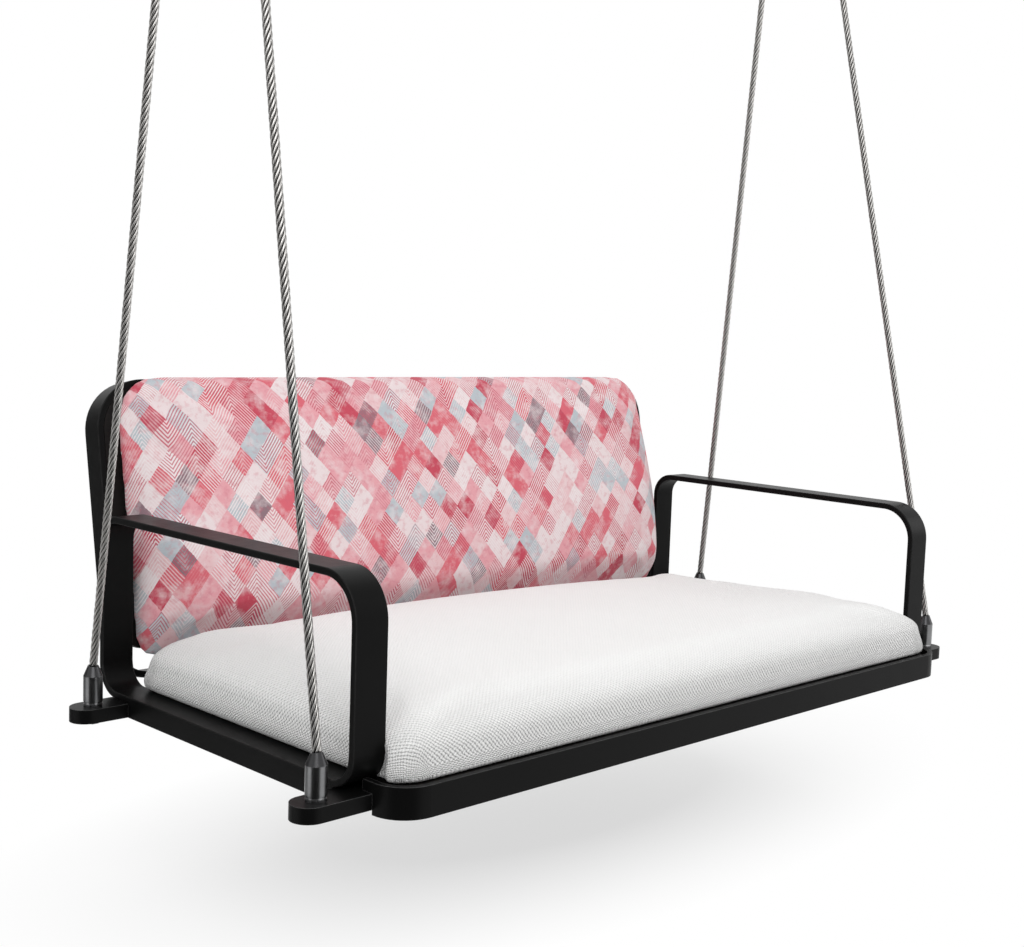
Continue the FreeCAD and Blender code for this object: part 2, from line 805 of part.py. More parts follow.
def hull(sketch, corners):
    """Outline round three circles, given anticlockwise as x, y and radius."""
    arcs = []
    count = len(corners)
    marks = []
    for index, (x, y, radius) in enumerate(corners):
        nx, ny, nr = corners[(index + 1) % count]
        heading = math.atan2(ny - y, nx - x)
        away = math.hypot(nx - x, ny - y)
        side = heading - math.acos((radius - nr) / away)
        marks.append(side)
    for index, (x, y, radius) in enumerate(corners):
        first = marks[index - 1]
        last = marks[index]
        while last < first:
            last += 2 * math.pi
        shape = Part.Circle(FreeCAD.Vector(x, y, 0), Z_AXIS, radius)
        arcs.append(sketch.addGeometry(Part.ArcOfCircle(shape, first, last), False))
    lines = []
    for index, (x, y, radius) in enumerate(corners):
        nx, ny, nr = corners[(index + 1) % count]
        aim = FreeCAD.Vector(math.cos(marks[index]), math.sin(marks[index]), 0)
        start = FreeCAD.Vector(x, y, 0) + aim * radius
        finish = FreeCAD.Vector(nx, ny, 0) + aim * nr
        lines.append(sketch.addGeometry(Part.LineSegment(start, finish), False))
    for index in range(count):
        sketch.addConstraint(Sketcher.Constraint("Tangent", arcs[index], 2, lines[index], 1))
        after = arcs[(index + 1) % count]
        sketch.addConstraint(Sketcher.Constraint("Tangent", lines[index], 2, after, 1))
    return arcs


for side, sign_x in SIDES:
    normal = plane_normal(sign_x)
    pivot = pivot_point(sign_x)
    pins = [pin_point(sign_x, sign_y) for sign_y in (-1, 1)]
    up = normal.cross(Y_AXIS)
    turn = FreeCAD.Rotation(Y_AXIS, up, normal, "ZXY")
    body = new_body("hanger_" + side)
    sketch = body_sketch(body, "XY_Plane", "hanger_sketch_" + side)
    low = of("hanger_low_radius")
    spots = [((pin - pivot).dot(Y_AXIS), (pin - pivot).dot(up), low.number) for pin in pins]
    spots.append((0.0, 0.0, DIMENSIONS["hanger_top_radius"]))
    arcs = hull(sketch, spots)
    for index, (x, y, radius) in enumerate(spots[:2]):
        radius_datum(sketch, arcs[index], low)
        datum(sketch, "DistanceX", arcs[index], 3, as_size(x))
        datum(sketch, "DistanceY", arcs[index], 3, as_size(y))
        circle(sketch, x, y, of("fork_pin_radius") + of("fork_pin_clearance"))
    radius_datum(sketch, arcs[2], of("hanger_top_radius"))
    sketch.addConstraint(Sketcher.Constraint("Coincident", arcs[2], 3, -1, 1))
    plate = pad(body, sketch, of("hanger_thick"))
    plate.Midplane = True
    place(body, seat_point(pivot.x, pivot.y, pivot.z), turn)
    bore = cylinder("hanger_bore_" + side, of("bush_radius") + of("bush_fit"), cutter)
    bore_start = pivot - X_AXIS * DIMENSIONS["cutter_half"]
    place(bore, seat_point(bore_start.x, bore_start.y, bore_start.z), FreeCAD.Rotation(Y_AXIS, 90))
    node(cut("hanger_" + side, body, bore), "hanger_plate_" + side)

# Pivots: a flanged bush in each hanger turns on a pin that the ceiling bracket holds

for side, sign_x in SIDES:
    pivot_x = sign_x * bracket_x
    pivot_z = -of("pivot_below_ceiling")
    along_x = FreeCAD.Rotation(Y_AXIS, 90)
    centre = FreeCAD.Vector(pivot_x, 0, -DIMENSIONS["pivot_below_ceiling"])

    bush_long = of("cheek_gap") - of("bush_end_gap") * 2
    outer = cylinder("bush_outer_" + side, of("bush_radius"), bush_long)
    place(outer, centre - X_AXIS * (bush_long.number / 2), along_x)
    inner_bore = cylinder("bush_bore_" + side, of("pivot_radius") + of("pivot_clearance"), bush_long + 2)
    place(inner_bore, centre - X_AXIS * (bush_long.number / 2 + 1), along_x)
    node(cut("pivot_bush_" + side, outer, inner_bore), "pivot_bush_" + side)

    half_stack = of("cheek_gap") / 2 + of("cheek_thick")
    shaft_long = half_stack * 2 + of("pivot_nut_high") + of("pivot_proud")
    shaft = cylinder("pivot_shaft_" + side, of("pivot_radius"), shaft_long)
    place(shaft, centre - X_AXIS * half_stack.number, along_x)
    head = cylinder("pivot_head_" + side, of("pivot_head"), of("pivot_head_high"))
    place(head, centre - X_AXIS * (half_stack.number + DIMENSIONS["pivot_head_high"]), along_x)
    node(fuse("pivot_pin_" + side, shaft, head), "pivot_pin_" + side)

    nut = hexagon("pivot_nut_block_" + side, of("pivot_nut_half"), of("pivot_nut_high"))
    place(nut, centre + X_AXIS * half_stack.number, along_x)
    nut_bore = cylinder("pivot_nut_bore_" + side, of("pivot_radius") + of("pivot_hole_clearance"), cutter)
    place(nut_bore, centre, along_x)
    node(cut("pivot_nut_" + side, nut, nut_bore), "pivot_nut_" + side)

    body = new_body("plate_" + side)
    sketch = body_sketch(body, "XY_Plane", "plate_sketch_" + side)
    wide = of("plate_x") / 2
    long = of("plate_y") / 2
    rounded_outline(sketch, -wide, wide, -long, long, [of("plate_corner")] * 4)
    for end, sign_y in ENDS:
        circle(sketch, 0, of("plate_bolt_pitch") / 2 * sign_y, of("plate_bolt_radius"))
    slab = pad(body, sketch, of("plate_thick"))
    slab.Reversed = True
    move(body, pivot_x, 0, 0)
    pieces = [body]
    for number, offset in enumerate((-half_stack, of("cheek_gap") / 2)):
        cheek = new_body("cheek_%s_%d" % (side, number))
        sketch = body_sketch(cheek, "YZ_Plane", "cheek_sketch_%s_%d" % (side, number))
        wide = of("cheek_width") / 2
        low = pivot_z - of("cheek_below_pivot")
        bend = of("cheek_below_pivot") - 2
        rounded_outline(sketch, -wide, wide, low, -of("plate_thick") + 2, [bend, bend, 1.0, 1.0])
        pad(cheek, sketch, of("cheek_thick"))
        move(cheek, offset + pivot_x, 0, 0)
        pieces.append(cheek)
    bore_radius = of("pivot_radius") + of("pivot_hole_clearance")
    bore = cylinder("cheek_bore_" + side, bore_radius, cutter)
    place(bore, centre - X_AXIS * DIMENSIONS["cutter_half"], along_x)
    node(cut("bracket_" + side, fuse("bracket_" + side, *pieces), bore), "ceiling_bracket_" + side)

document.recompute()

for thing in document.Objects:
    if "Invalid" in thing.State or "Error" in thing.State:
        raise RuntimeError("%s is not sound: %s" % (thing.Label, thing.State))
for thing, name in nodes:
    if thing.Shape.isNull() or not thing.Shape.isValid():
        raise RuntimeError("%s has no sound shape" % name)
    if len(thing.Shape.Solids) != 1:
        raise RuntimeError("%s is not one solid" % name)

os.makedirs("parts", exist_ok=True)
for thing, name in nodes:
    thing.Shape.exportStep("parts/%s.step" % name)
print("wrote %d parts" % len(nodes))
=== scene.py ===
import json
import math

import bpy
import numpy as np
from mathutils import Matrix, Quaternion, Vector


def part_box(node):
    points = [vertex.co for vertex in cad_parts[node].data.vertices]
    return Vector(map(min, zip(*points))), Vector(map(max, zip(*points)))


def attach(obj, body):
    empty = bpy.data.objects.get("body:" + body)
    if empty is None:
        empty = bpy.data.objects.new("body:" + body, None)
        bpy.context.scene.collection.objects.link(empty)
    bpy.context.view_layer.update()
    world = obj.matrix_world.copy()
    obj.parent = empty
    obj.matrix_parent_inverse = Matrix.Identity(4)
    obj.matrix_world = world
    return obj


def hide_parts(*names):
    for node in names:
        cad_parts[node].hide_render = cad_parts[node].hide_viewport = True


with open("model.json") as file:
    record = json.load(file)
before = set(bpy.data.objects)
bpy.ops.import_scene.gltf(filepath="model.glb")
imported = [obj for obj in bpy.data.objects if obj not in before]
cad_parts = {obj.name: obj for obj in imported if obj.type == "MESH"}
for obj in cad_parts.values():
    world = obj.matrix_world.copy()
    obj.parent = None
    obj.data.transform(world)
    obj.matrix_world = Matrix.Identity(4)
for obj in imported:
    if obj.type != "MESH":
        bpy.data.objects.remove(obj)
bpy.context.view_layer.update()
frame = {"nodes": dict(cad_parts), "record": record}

# A hanging swing seat: steel frame, wire ropes, a woven seat cushion and a printed back cushion.
# Metres, +Z up, the seat's front towards -Y, origin on the ceiling plane.

scene = bpy.context.scene
nodes = frame["nodes"]
slot_of = {item["node"]: item["material_slot"] for item in frame["record"]["subparts"]}

# The seat's own datum: midway between the rope ferrules, at the lower edge of the apron
beam_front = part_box("cross_beam_front")
beam_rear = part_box("cross_beam_rear")
SEAT = Vector((0.0, (beam_front[0].y + beam_rear[1].y) / 2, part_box("front_apron")[0].z))


# Camera

IMAGE_WIDTH = 1024
IMAGE_HEIGHT = 947
FOCAL_PIXELS = 1463.8
SENSOR = 36.0
CENTRE_PIXEL = (576.9, 468.7)
EYE_FROM_SEAT = Vector((-1.6680, -1.6215, 0.5929))
HEADING = math.radians(46.13)
TILT = math.radians(5.77)
ROLL = math.radians(-2.22)
FAR_CLIP = 60.0


def make_camera():
    data = bpy.data.cameras.new("camera")
    data.sensor_fit = "HORIZONTAL"
    data.sensor_width = SENSOR
    data.lens = FOCAL_PIXELS / IMAGE_WIDTH * SENSOR
    data.shift_x = (IMAGE_WIDTH / 2 - CENTRE_PIXEL[0]) / IMAGE_WIDTH
    data.shift_y = (CENTRE_PIXEL[1] - IMAGE_HEIGHT / 2) / IMAGE_WIDTH
    data.clip_end = FAR_CLIP
    flat = math.cos(TILT)
    forward = Vector((math.sin(HEADING) * flat, math.cos(HEADING) * flat, -math.sin(TILT)))
    level = Vector((math.cos(HEADING), -math.sin(HEADING), 0.0))
    turn = Quaternion(forward, ROLL)
    right = turn @ level
    up = turn @ level.cross(forward)
    camera = bpy.data.objects.new("camera", data)
    camera.matrix_world = Matrix((right, up, -forward)).transposed().to_4x4()
    camera.location = SEAT + EYE_FROM_SEAT
    scene.collection.objects.link(camera)
    scene.camera = camera


make_camera()


# Materials


class Graph:
    """A material's node tree with short ways to add and join nodes."""

    # A Mix node's sockets for colours
    MIX_FIRST, MIX_SECOND, MIX_RESULT = 6, 7, 2

    def __init__(self, name):
        self.material = bpy.data.materials.new(name)
        self.material.use_nodes = True
        self.tree = self.material.node_tree
        self.shader = self.tree.nodes["Principled BSDF"]

    def add(self, kind, values=None, **settings):
        """A new node: values go to its inputs and settings to its properties."""
        node = self.tree.nodes.new("ShaderNode" + kind)
        for key, value in settings.items():
            setattr(node, key, value)
        for key, value in (values or {}).items():
            self.feed(node.inputs[key], value)
        return node

    def feed(self, socket, value):
        if isinstance(value, bpy.types.NodeSocket):
            self.tree.links.new(value, socket)
        elif isinstance(value, bpy.types.Node):
            self.tree.links.new(value.outputs[0], socket)
        else:
            socket.default_value = value

    def math(self, operation, first, second=0.0, third=0.0):
        node = self.add("Math", {0: first, 1: second, 2: third}, operation=operation)
        return node.outputs[0]

    def place(self):
        return self.add("TexCoord").outputs["Object"]

    def noise(self, vector, scale, detail=3.0, roughness=0.55):
        sizes = {"Vector": vector, "Scale": scale, "Detail": detail, "Roughness": roughness}
        return self.add("TexNoise", sizes).outputs["Fac"]

    def spread(self, value, low, high, from_low=0.0, from_high=1.0):
        """The value moved from one range to another and held inside it."""
        sizes = {"Value": value, "To Min": low, "To Max": high}
        sizes |= {"From Min": from_low, "From Max": from_high}
        return self.add("MapRange", sizes).outputs["Result"]

    def blend(self, factor, first, second, kind="MIX"):
        node = self.add("Mix", data_type="RGBA", blend_type=kind)
        self.feed(node.inputs["Factor"], factor)
        self.feed(node.inputs[self.MIX_FIRST], first)
        self.feed(node.inputs[self.MIX_SECOND], second)
        return node.outputs[self.MIX_RESULT]

    def bump(self, height, distance, strength):
        sizes = {"Height": height, "Distance": distance, "Strength": strength}
        return self.add("Bump", sizes).outputs["Normal"]

    def surface(self, **sockets):
        for name, value in sockets.items():
            self.feed(self.shader.inputs[name.replace("_", " ")], value)
        return self.material


def colour(red, green, blue):
    return (red, green, blue, 1.0)


def grey(level):
    return colour(level, level, level)


EDGE_RADIUS = 0.0012
EDGE_SAMPLES = 4
EDGE_TURN = (0.90, 0.997)
PAINT_TONES = (grey(0.0025), grey(0.0050))
# Colour of the paler edges: partly rubbed paint, partly a painted highlight on the rounded edges
RUBBED_AND_HIGHLIGHT_TONE = grey(0.22)
PAINT_ROUGHNESS = (0.30, 0.42)
PAINT_SPECULAR = 0.07
FRAME_RUB_AND_HIGHLIGHT = 0.7
CLOUD_SCALE = 9.0
PEEL_SCALE = 900.0
RUB_AND_HIGHLIGHT_SCALE = 60.0
RUB_AND_HIGHLIGHT_SHARE = (0.1, 1.0)
SMEAR_SCALE = 35.0


def edge_wear_and_highlight(graph):
    """About 0 on flat faces and 1 on outer edges, where a rounded and a plain normal differ: the mask of
    edges painted paler, partly as rubbed paint and partly as a painted highlight.
    """
    rounded = graph.add("Bevel", {"Radius": EDGE_RADIUS}, samples=EDGE_SAMPLES)
    plain = graph.add("NewGeometry").outputs["Normal"]
    same = graph.add("VectorMath", {0: rounded.outputs[0], 1: plain}, operation="DOT_PRODUCT")
    return graph.spread(same.outputs["Value"], 1.0, 0.0, *EDGE_TURN)


def powder_coat(name, rub_and_highlight):
    """Satin black powder coat: a fine orange peel, a little dust, and paler edges that are partly rubbed
    paint and partly a painted highlight.
    """
    graph = Graph(name)
    place = graph.place()
    cloud = graph.noise(place, CLOUD_SCALE)
    peel = graph.noise(place, PEEL_SCALE, detail=2.0)
    patchy = graph.spread(graph.noise(place, RUB_AND_HIGHLIGHT_SCALE), *RUB_AND_HIGHLIGHT_SHARE)
    wear_and_highlight = graph.math("MULTIPLY", edge_wear_and_highlight(graph), patchy)
    paint = graph.blend(cloud, *PAINT_TONES)
    return graph.surface(
        # Paler edges: partly rubbed paint, partly a painted highlight on the rounded edges
        Base_Color=graph.blend(graph.math("MULTIPLY", wear_and_highlight, rub_and_highlight), paint, RUBBED_AND_HIGHLIGHT_TONE),
        Roughness=graph.spread(graph.noise(place, SMEAR_SCALE), *PAINT_ROUGHNESS),
        Specular_IOR_Level=PAINT_SPECULAR,
        Normal=graph.bump(peel, distance=0.0004, strength=0.12),
    )


LATHE_SCALE = 1400.0
STAIN_SCALE = 70.0


def turned_graph(name, dark, light, low, high):
    """The graph of turned metal, the height along its axis and its colour before other marks."""
    graph = Graph(name)
    place = graph.place()
    level = graph.add("SeparateXYZ", {0: place}).outputs["Z"]
    scaled = graph.add("CombineXYZ", {"Z": graph.math("MULTIPLY", level, LATHE_SCALE)})
    rings = graph.noise(scaled.outputs[0], 1.0, detail=4.0)
    stain = graph.noise(place, STAIN_SCALE, detail=4.0)
    tone = graph.blend(graph.math("MULTIPLY", stain, rings), dark, light)
    graph.surface(
        Base_Color=tone,
        Metallic=1.0,
        Roughness=graph.spread(rings, low, high),
        Normal=graph.bump(rings, distance=0.0002, strength=0.25),
    )
    return graph, level, tone


def turned_metal(name, dark, light, low, high):
    """Turned metal: fine rings round its axis, with uneven darkening."""
    return turned_graph(name, dark, light, low, high)[0].material


FERRULE_CONE = 0.0155
FERRULE_RING = 0.0042
RING_HALF = 0.0007
BAND_EDGE = 0.0004
# Painted dark reflection on the cone, and a painted highlight line at the ferrule's foot
CONE_SHADE_TONE = colour(0.055, 0.055, 0.057)
RING_HIGHLIGHT_TONE = colour(0.62, 0.62, 0.63)


def ferrule_metal(dark, light, low, high):
    """Turned gunmetal with a painted dark reflection on the cone at the rope's end and a painted highlight
    line at the foot.
    """
    graph, level, tone = turned_graph("ferrule_gunmetal", dark, light, low, high)
    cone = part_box("ferrule_front_left")[1].z - FERRULE_CONE
    # Painted dark reflection: the cone above this level is darkened
    cone_shade = graph.spread(level, 0.0, 1.0, cone - BAND_EDGE, cone + BAND_EDGE)
    tone = graph.blend(cone_shade, tone, CONE_SHADE_TONE)
    # Painted highlight: a bright line round the ferrule's foot
    away = graph.math("ABSOLUTE", graph.math("SUBTRACT", level, beam_front[1].z + FERRULE_RING))
    ring_highlight = graph.spread(away, 1.0, 0.0, RING_HALF, RING_HALF + BAND_EDGE)
    return graph.surface(Base_Color=graph.blend(ring_highlight, tone, RING_HIGHLIGHT_TONE))


WIRE_BRIGHT = colour(0.655, 0.640, 0.620)
# Painted shade in the valleys between wires and strands
VALLEY_SHADE_TONE = colour(0.014, 0.013, 0.012)
WIRE_TINT = colour(0.20, 0.196, 0.190)
WIRE_ROUGHNESS = (0.24, 0.42)
MOTTLE_SCALE = 130.0
VALLEY_SHADE_MOTTLE = (0.75, 1.15)
SCRATCH_SCALE = 2600.0


def rope_metal():
    """Bright drawn wire, with painted shade in the valleys between wires and strands."""
    graph = Graph("rope_metal")
    place = graph.place()
    painted_valley_shade = graph.add("Attribute", attribute_name="valley_shade").outputs["Fac"]
    mottle = graph.noise(place, MOTTLE_SCALE, detail=4.0)
    scratches = graph.noise(place, SCRATCH_SCALE, detail=2.0)
    # Painted shade: the valleys darkened, a little more or less with the mottle noise
    depth = graph.math("MULTIPLY", painted_valley_shade, graph.spread(mottle, *VALLEY_SHADE_MOTTLE))
    return graph.surface(
        Base_Color=graph.blend(depth, WIRE_BRIGHT, VALLEY_SHADE_TONE),
        Metallic=1.0,
        Specular_Tint=WIRE_TINT,
        Roughness=graph.spread(mottle, *WIRE_ROUGHNESS),
        Normal=graph.bump(scratches, distance=0.0002, strength=0.2),
    )


GRAIN_STRETCH = (2.2, 38.0, 38.0)
GRAIN_SCALE = 3.0
PORE_SCALE = 30.0
PLY_ROUGHNESS = (0.5, 0.72)
GRAIN_TONES = ((0.32, colour(0.0030, 0.0027, 0.0024)), (0.72, colour(0.0095, 0.0080, 0.0072)))


def plywood():
    """Black-stained plywood, grain along X."""
    graph = Graph("stained_plywood")
    stretched = graph.add("Mapping", {"Vector": graph.place(), "Scale": GRAIN_STRETCH}).outputs[0]
    grain = graph.noise(stretched, GRAIN_SCALE, detail=6.0, roughness=0.6)
    pores = graph.noise(stretched, PORE_SCALE, detail=3.0)
    tone = graph.add("ValToRGB", {"Fac": grain})
    for point, (position, stain) in zip(tone.color_ramp.elements, GRAIN_TONES):
        point.color = stain
        point.position = position
    return graph.surface(
        Base_Color=tone.outputs["Color"],
        Roughness=graph.spread(pores, *PLY_ROUGHNESS),
        Specular_IOR_Level=0.15,
        Normal=graph.bump(pores, distance=0.0004, strength=0.4),
    )


WEAVE_TURN = 0.35
WARP_RISE = (0.5, 1.0)
WEFT_RISE = (0.85, 0.2)
WEAVE_BLEND = 0.15


def weave(graph, u, v, pitch):
    """Height of a weave of round threads, ribs across u on top: 0 in the gaps, 1 on the crossings."""
    across = graph.math("SINE", graph.math("MULTIPLY", u, math.pi / pitch))
    along = graph.math("SINE", graph.math("MULTIPLY", v, math.pi / pitch))
    turn = graph.spread(graph.math("MULTIPLY", across, along), 0.0, 1.0, -WEAVE_TURN, WEAVE_TURN)
    warp = graph.math("MULTIPLY", graph.math("ABSOLUTE", across), graph.spread(turn, *WARP_RISE))
    weft = graph.math("MULTIPLY", graph.math("ABSOLUTE", along), graph.spread(turn, *WEFT_RISE))
    return graph.math("SMOOTH_MAX", warp, weft, WEAVE_BLEND)


def cloth_place(graph, wander, scale):
    """The unrolled cloth coordinates of a pad, in metres, with threads that wander a little."""
    flat = graph.add("Attribute", attribute_name="cloth").outputs["Vector"]
    drift = graph.add("TexNoise", {"Vector": flat, "Scale": scale, "Detail": 2.0}).outputs["Color"]
    shift = graph.add("VectorMath", {0: drift, 1: (0.5, 0.5, 0.5)}, operation="SUBTRACT").outputs[0]
    sizes = {0: shift, 1: (wander,) * 3, 2: flat}
    moved = graph.add("VectorMath", sizes, operation="MULTIPLY_ADD")
    parts = graph.add("SeparateXYZ", {0: moved.outputs[0]})
    return flat, parts.outputs["X"], parts.outputs["Y"]


SEAT_THREAD = 0.0044
SEAT_WANDER = (0.0022, 55.0)
SEAT_TONES = (colour(0.875, 0.872, 0.864), colour(0.925, 0.923, 0.917))
# Painted shade in the gaps between threads, and how strong the relief is, on top and down the sides
SEAT_GAP_SHADE = (0.88, 0.28)
SEAT_RELIEF = (0.35, 1.0)
GAP_HEIGHT = (0.12, 0.58)
FUZZ_SCALE = 1500.0
FUZZ_SHARE = 0.25
YARN_SCALE = 420.0
YARN_SHADE = (0.94, 1.04)
WASH_SCALE = 6.0


def seat_cloth():
    """Off-white weave of thick soft yarn on the bias, in flatter relief on top and crisp down the sides,
    with painted shade in the gaps between threads that is faint on top and deep down the sides.
    """
    graph = Graph("seat_cloth")
    flat, u, v = cloth_place(graph, *SEAT_WANDER)
    bias = graph.math("MULTIPLY", graph.math("ADD", u, v), math.sqrt(0.5))
    cross = graph.math("MULTIPLY", graph.math("SUBTRACT", u, v), math.sqrt(0.5))
    height = weave(graph, bias, cross, SEAT_THREAD)
    crisp_and_shade = graph.add("Attribute", attribute_name="crisp_and_shade").outputs["Fac"]
    fuzz = graph.noise(flat, FUZZ_SCALE, detail=3.0)
    yarn = graph.noise(flat, YARN_SCALE, detail=2.0)
    wash = graph.noise(flat, WASH_SCALE, detail=3.0)
    pale = graph.blend(wash, *SEAT_TONES)
    # Painted shade in the gaps between threads: faint on top, deep down the sides
    shade = graph.spread(height, graph.spread(crisp_and_shade, *SEAT_GAP_SHADE), 1.0, *GAP_HEIGHT)
    mottled = graph.math("MULTIPLY", shade, graph.spread(yarn, *YARN_SHADE))
    tint = graph.add("CombineColor", {0: mottled, 1: mottled, 2: mottled})
    relief = graph.math("ADD", height, graph.math("MULTIPLY", fuzz, FUZZ_SHARE))
    return graph.surface(
        Base_Color=graph.blend(1.0, pale, tint.outputs[0], "MULTIPLY"),
        Roughness=0.92,
        Specular_IOR_Level=0.2,
        Sheen_Weight=0.25,
        Sheen_Roughness=0.6,
        Normal=graph.bump(relief, distance=0.0024, strength=graph.spread(crisp_and_shade, *SEAT_RELIEF)),
    )


BACK_THREAD = 0.0012
BACK_WANDER = (0.004, 60.0)
BACK_GAP_SHADE = (0.86, 1.0)
BACK_GAP_HEIGHT = (0.1, 0.8)
LOZENGE_WIDE = 0.080
LOZENGE_HIGH = 0.096
HATCH = 0.0068
PRINT_COLOURS = (
    (0.00, colour(0.84, 0.71, 0.72)),
    (0.19, colour(0.72, 0.14, 0.18)),
    (0.35, colour(0.80, 0.38, 0.42)),
    (0.55, colour(0.58, 0.07, 0.11)),
    (0.65, colour(0.50, 0.55, 0.59)),
    (0.79, colour(0.82, 0.55, 0.57)),
    (0.93, colour(0.28, 0.18, 0.21)),
)
GROUND_SEED, LAYER_SEED, PICK_SEED, HATCH_SEED, OVER_SEED = 3.0, 8.0, 21.0, 33.0, 47.0
LAYER_SHARE = 0.45
BLEED_SCALE, BLEED_TONE = 38.0, colour(0.86, 0.75, 0.76)
POOL_SCALE, POOL_TONE = 90.0, colour(0.62, 0.14, 0.19)
FRAY_SCALE, FRAY = 260.0, 0.7
LINE_EDGE = (0.1, 0.6)
# Each layer of the print: its most, and where in its noise it starts and ends
BLEED_MOST, BLEED_AT = 0.75, (0.46, 0.74)
POOL_MOST, POOL_AT = 0.35, (0.34, 0.50)
HATCH_MOST, HATCH_AT = 0.85, (0.35, 0.75)
OVER_MOST, OVER_AT = 0.75, (0.66, 0.80)
PALE_LINE = colour(0.88, 0.80, 0.805)
RED_LINE = colour(0.56, 0.08, 0.13)


def lozenges(graph, u, v, wide, high, seed):
    """A random number per cell of a diamond lattice."""
    across = graph.math("DIVIDE", u, wide)
    along = graph.math("DIVIDE", v, high)
    first = graph.math("FLOOR", graph.math("ADD", across, along))
    second = graph.math("FLOOR", graph.math("SUBTRACT", across, along))
    cell = graph.add("CombineXYZ", {"X": first, "Y": second, "Z": seed}).outputs[0]
    return graph.add("TexWhiteNoise", {"Vector": cell}, noise_dimensions="3D").outputs["Value"]


def print_ramp(graph, value):
    """One of the print's colours, picked by a number from 0 to 1."""
    ramp = graph.add("ValToRGB", {"Fac": value})
    ramp.color_ramp.interpolation = "CONSTANT"
    points = ramp.color_ramp.elements
    points.remove(points[1])
    points[0].position, points[0].color = PRINT_COLOURS[0]
    for position, tone in PRINT_COLOURS[1:]:
        points.new(position).color = tone
    return ramp.outputs["Color"]


def chevrons(graph, x, y, pitch, fray):
    """Frayed lines along the lozenges' sides, 1 on a line and 0 between two."""
    steep = LOZENGE_HIGH / LOZENGE_WIDE
    zigzag = graph.math("MULTIPLY", graph.math("PINGPONG", x, LOZENGE_WIDE * 0.5), steep)
    line = graph.math("SINE", graph.math("MULTIPLY", graph.math("ADD", y, zigzag), 2 * math.pi / pitch))
    return graph.spread(graph.math("ADD", line, fray), 0.0, 1.0, *LINE_EDGE)


def back_cloth():
    """Printed cloth: washed lozenges in pinks, reds and greys under a broken chevron hatch."""
    graph = Graph("back_cloth")
    flat, u, v = cloth_place(graph, *BACK_WANDER)
    straight = graph.add("SeparateXYZ", {0: flat})
    x, y = straight.outputs["X"], straight.outputs["Y"]
    half = (LOZENGE_WIDE * 0.5, LOZENGE_HIGH * 0.5)
    ground = print_ramp(graph, lozenges(graph, u, v, LOZENGE_WIDE, LOZENGE_HIGH, GROUND_SEED))
    layer = print_ramp(graph, lozenges(graph, u, v, *half, LAYER_SEED))
    pick = graph.math("GREATER_THAN", lozenges(graph, u, v, *half, PICK_SEED), LAYER_SHARE)
    inked = graph.blend(pick, ground, layer)
    bleed = graph.noise(flat, BLEED_SCALE, detail=5.0, roughness=0.6)
    washed = graph.blend(graph.spread(bleed, 0.0, BLEED_MOST, *BLEED_AT), inked, BLEED_TONE)
    pooled = graph.noise(flat, POOL_SCALE, detail=4.0, roughness=0.6)
    washed = graph.blend(graph.spread(pooled, POOL_MOST, 0.0, *POOL_AT), washed, POOL_TONE)
    fray = graph.spread(graph.noise(flat, FRAY_SCALE, detail=3.0), -FRAY, FRAY)
    lines = chevrons(graph, x, y, HATCH, fray)
    strong = graph.spread(lozenges(graph, u, v, *half, HATCH_SEED), 0.0, HATCH_MOST, *HATCH_AT)
    printed = graph.blend(graph.math("MULTIPLY", lines, strong), washed, PALE_LINE)
    between = chevrons(graph, x, graph.math("ADD", y, HATCH * 0.5), HATCH, fray)
    over = graph.spread(lozenges(graph, u, v, *half, OVER_SEED), 0.0, OVER_MOST, *OVER_AT)
    printed = graph.blend(graph.math("MULTIPLY", between, over), printed, RED_LINE)
    # Painted shade in the gaps between the fine threads
    height = weave(graph, x, y, BACK_THREAD)
    shade = graph.spread(height, *BACK_GAP_SHADE, *BACK_GAP_HEIGHT)
    tint = graph.add("CombineColor", {0: shade, 1: shade, 2: shade})
    return graph.surface(
        Base_Color=graph.blend(1.0, printed, tint.outputs[0], "MULTIPLY"),
        Roughness=0.85,
        Specular_IOR_Level=0.25,
        Sheen_Weight=0.1,
        Sheen_Roughness=0.5,
        Normal=graph.bump(height, distance=0.0003, strength=0.5),
    )


# Turned metals: dark and light tone, lowest and highest roughness
GUNMETAL = (colour(0.14, 0.142, 0.146), colour(0.32, 0.322, 0.326), 0.24, 0.40)
BLACK_ZINC = (colour(0.06, 0.06, 0.063), colour(0.16, 0.16, 0.165), 0.34, 0.5)
BRONZE = (colour(0.28, 0.15, 0.06), colour(0.58, 0.36, 0.16), 0.28, 0.45)
FERRULE = (colour(0.16, 0.162, 0.166), colour(0.40, 0.402, 0.406), 0.22, 0.38)
MATERIALS = {
    "frame_steel": powder_coat("powder_coat", FRAME_RUB_AND_HIGHLIGHT),
    "wire_rope": rope_metal(),
    "ferrule_steel": turned_metal("gunmetal", *GUNMETAL),
    "fastener_steel": turned_metal("black_zinc", *BLACK_ZINC),
    "bush_bronze": turned_metal("bronze", *BRONZE),
    "panel_wood": plywood(),
    "seat_fabric": seat_cloth(),
    "back_fabric": back_cloth(),
}
WELD_PAINT = powder_coat("weld_paint", 0.0)
FERRULE_METAL = ferrule_metal(*FERRULE)


def dress(piece, slot):
    """Give a piece its slot's material alone."""
    piece.data.materials.clear()
    piece.data.materials.append(MATERIALS[slot])


EDGE_ROUND = 0.0011
EDGE_SEGMENTS = 2
EDGE_ANGLE = math.radians(40)

for name, piece in nodes.items():
    dress(piece, slot_of[name])
    bevel = piece.modifiers.new("edges", "BEVEL")
    bevel.width = EDGE_ROUND
    bevel.segments = EDGE_SEGMENTS
    bevel.limit_method = "ANGLE"
    bevel.angle_limit = EDGE_ANGLE
    bevel.harden_normals = True
    if name.startswith("ferrule_"):
        piece.data.materials[0] = FERRULE_METAL


# Ropes

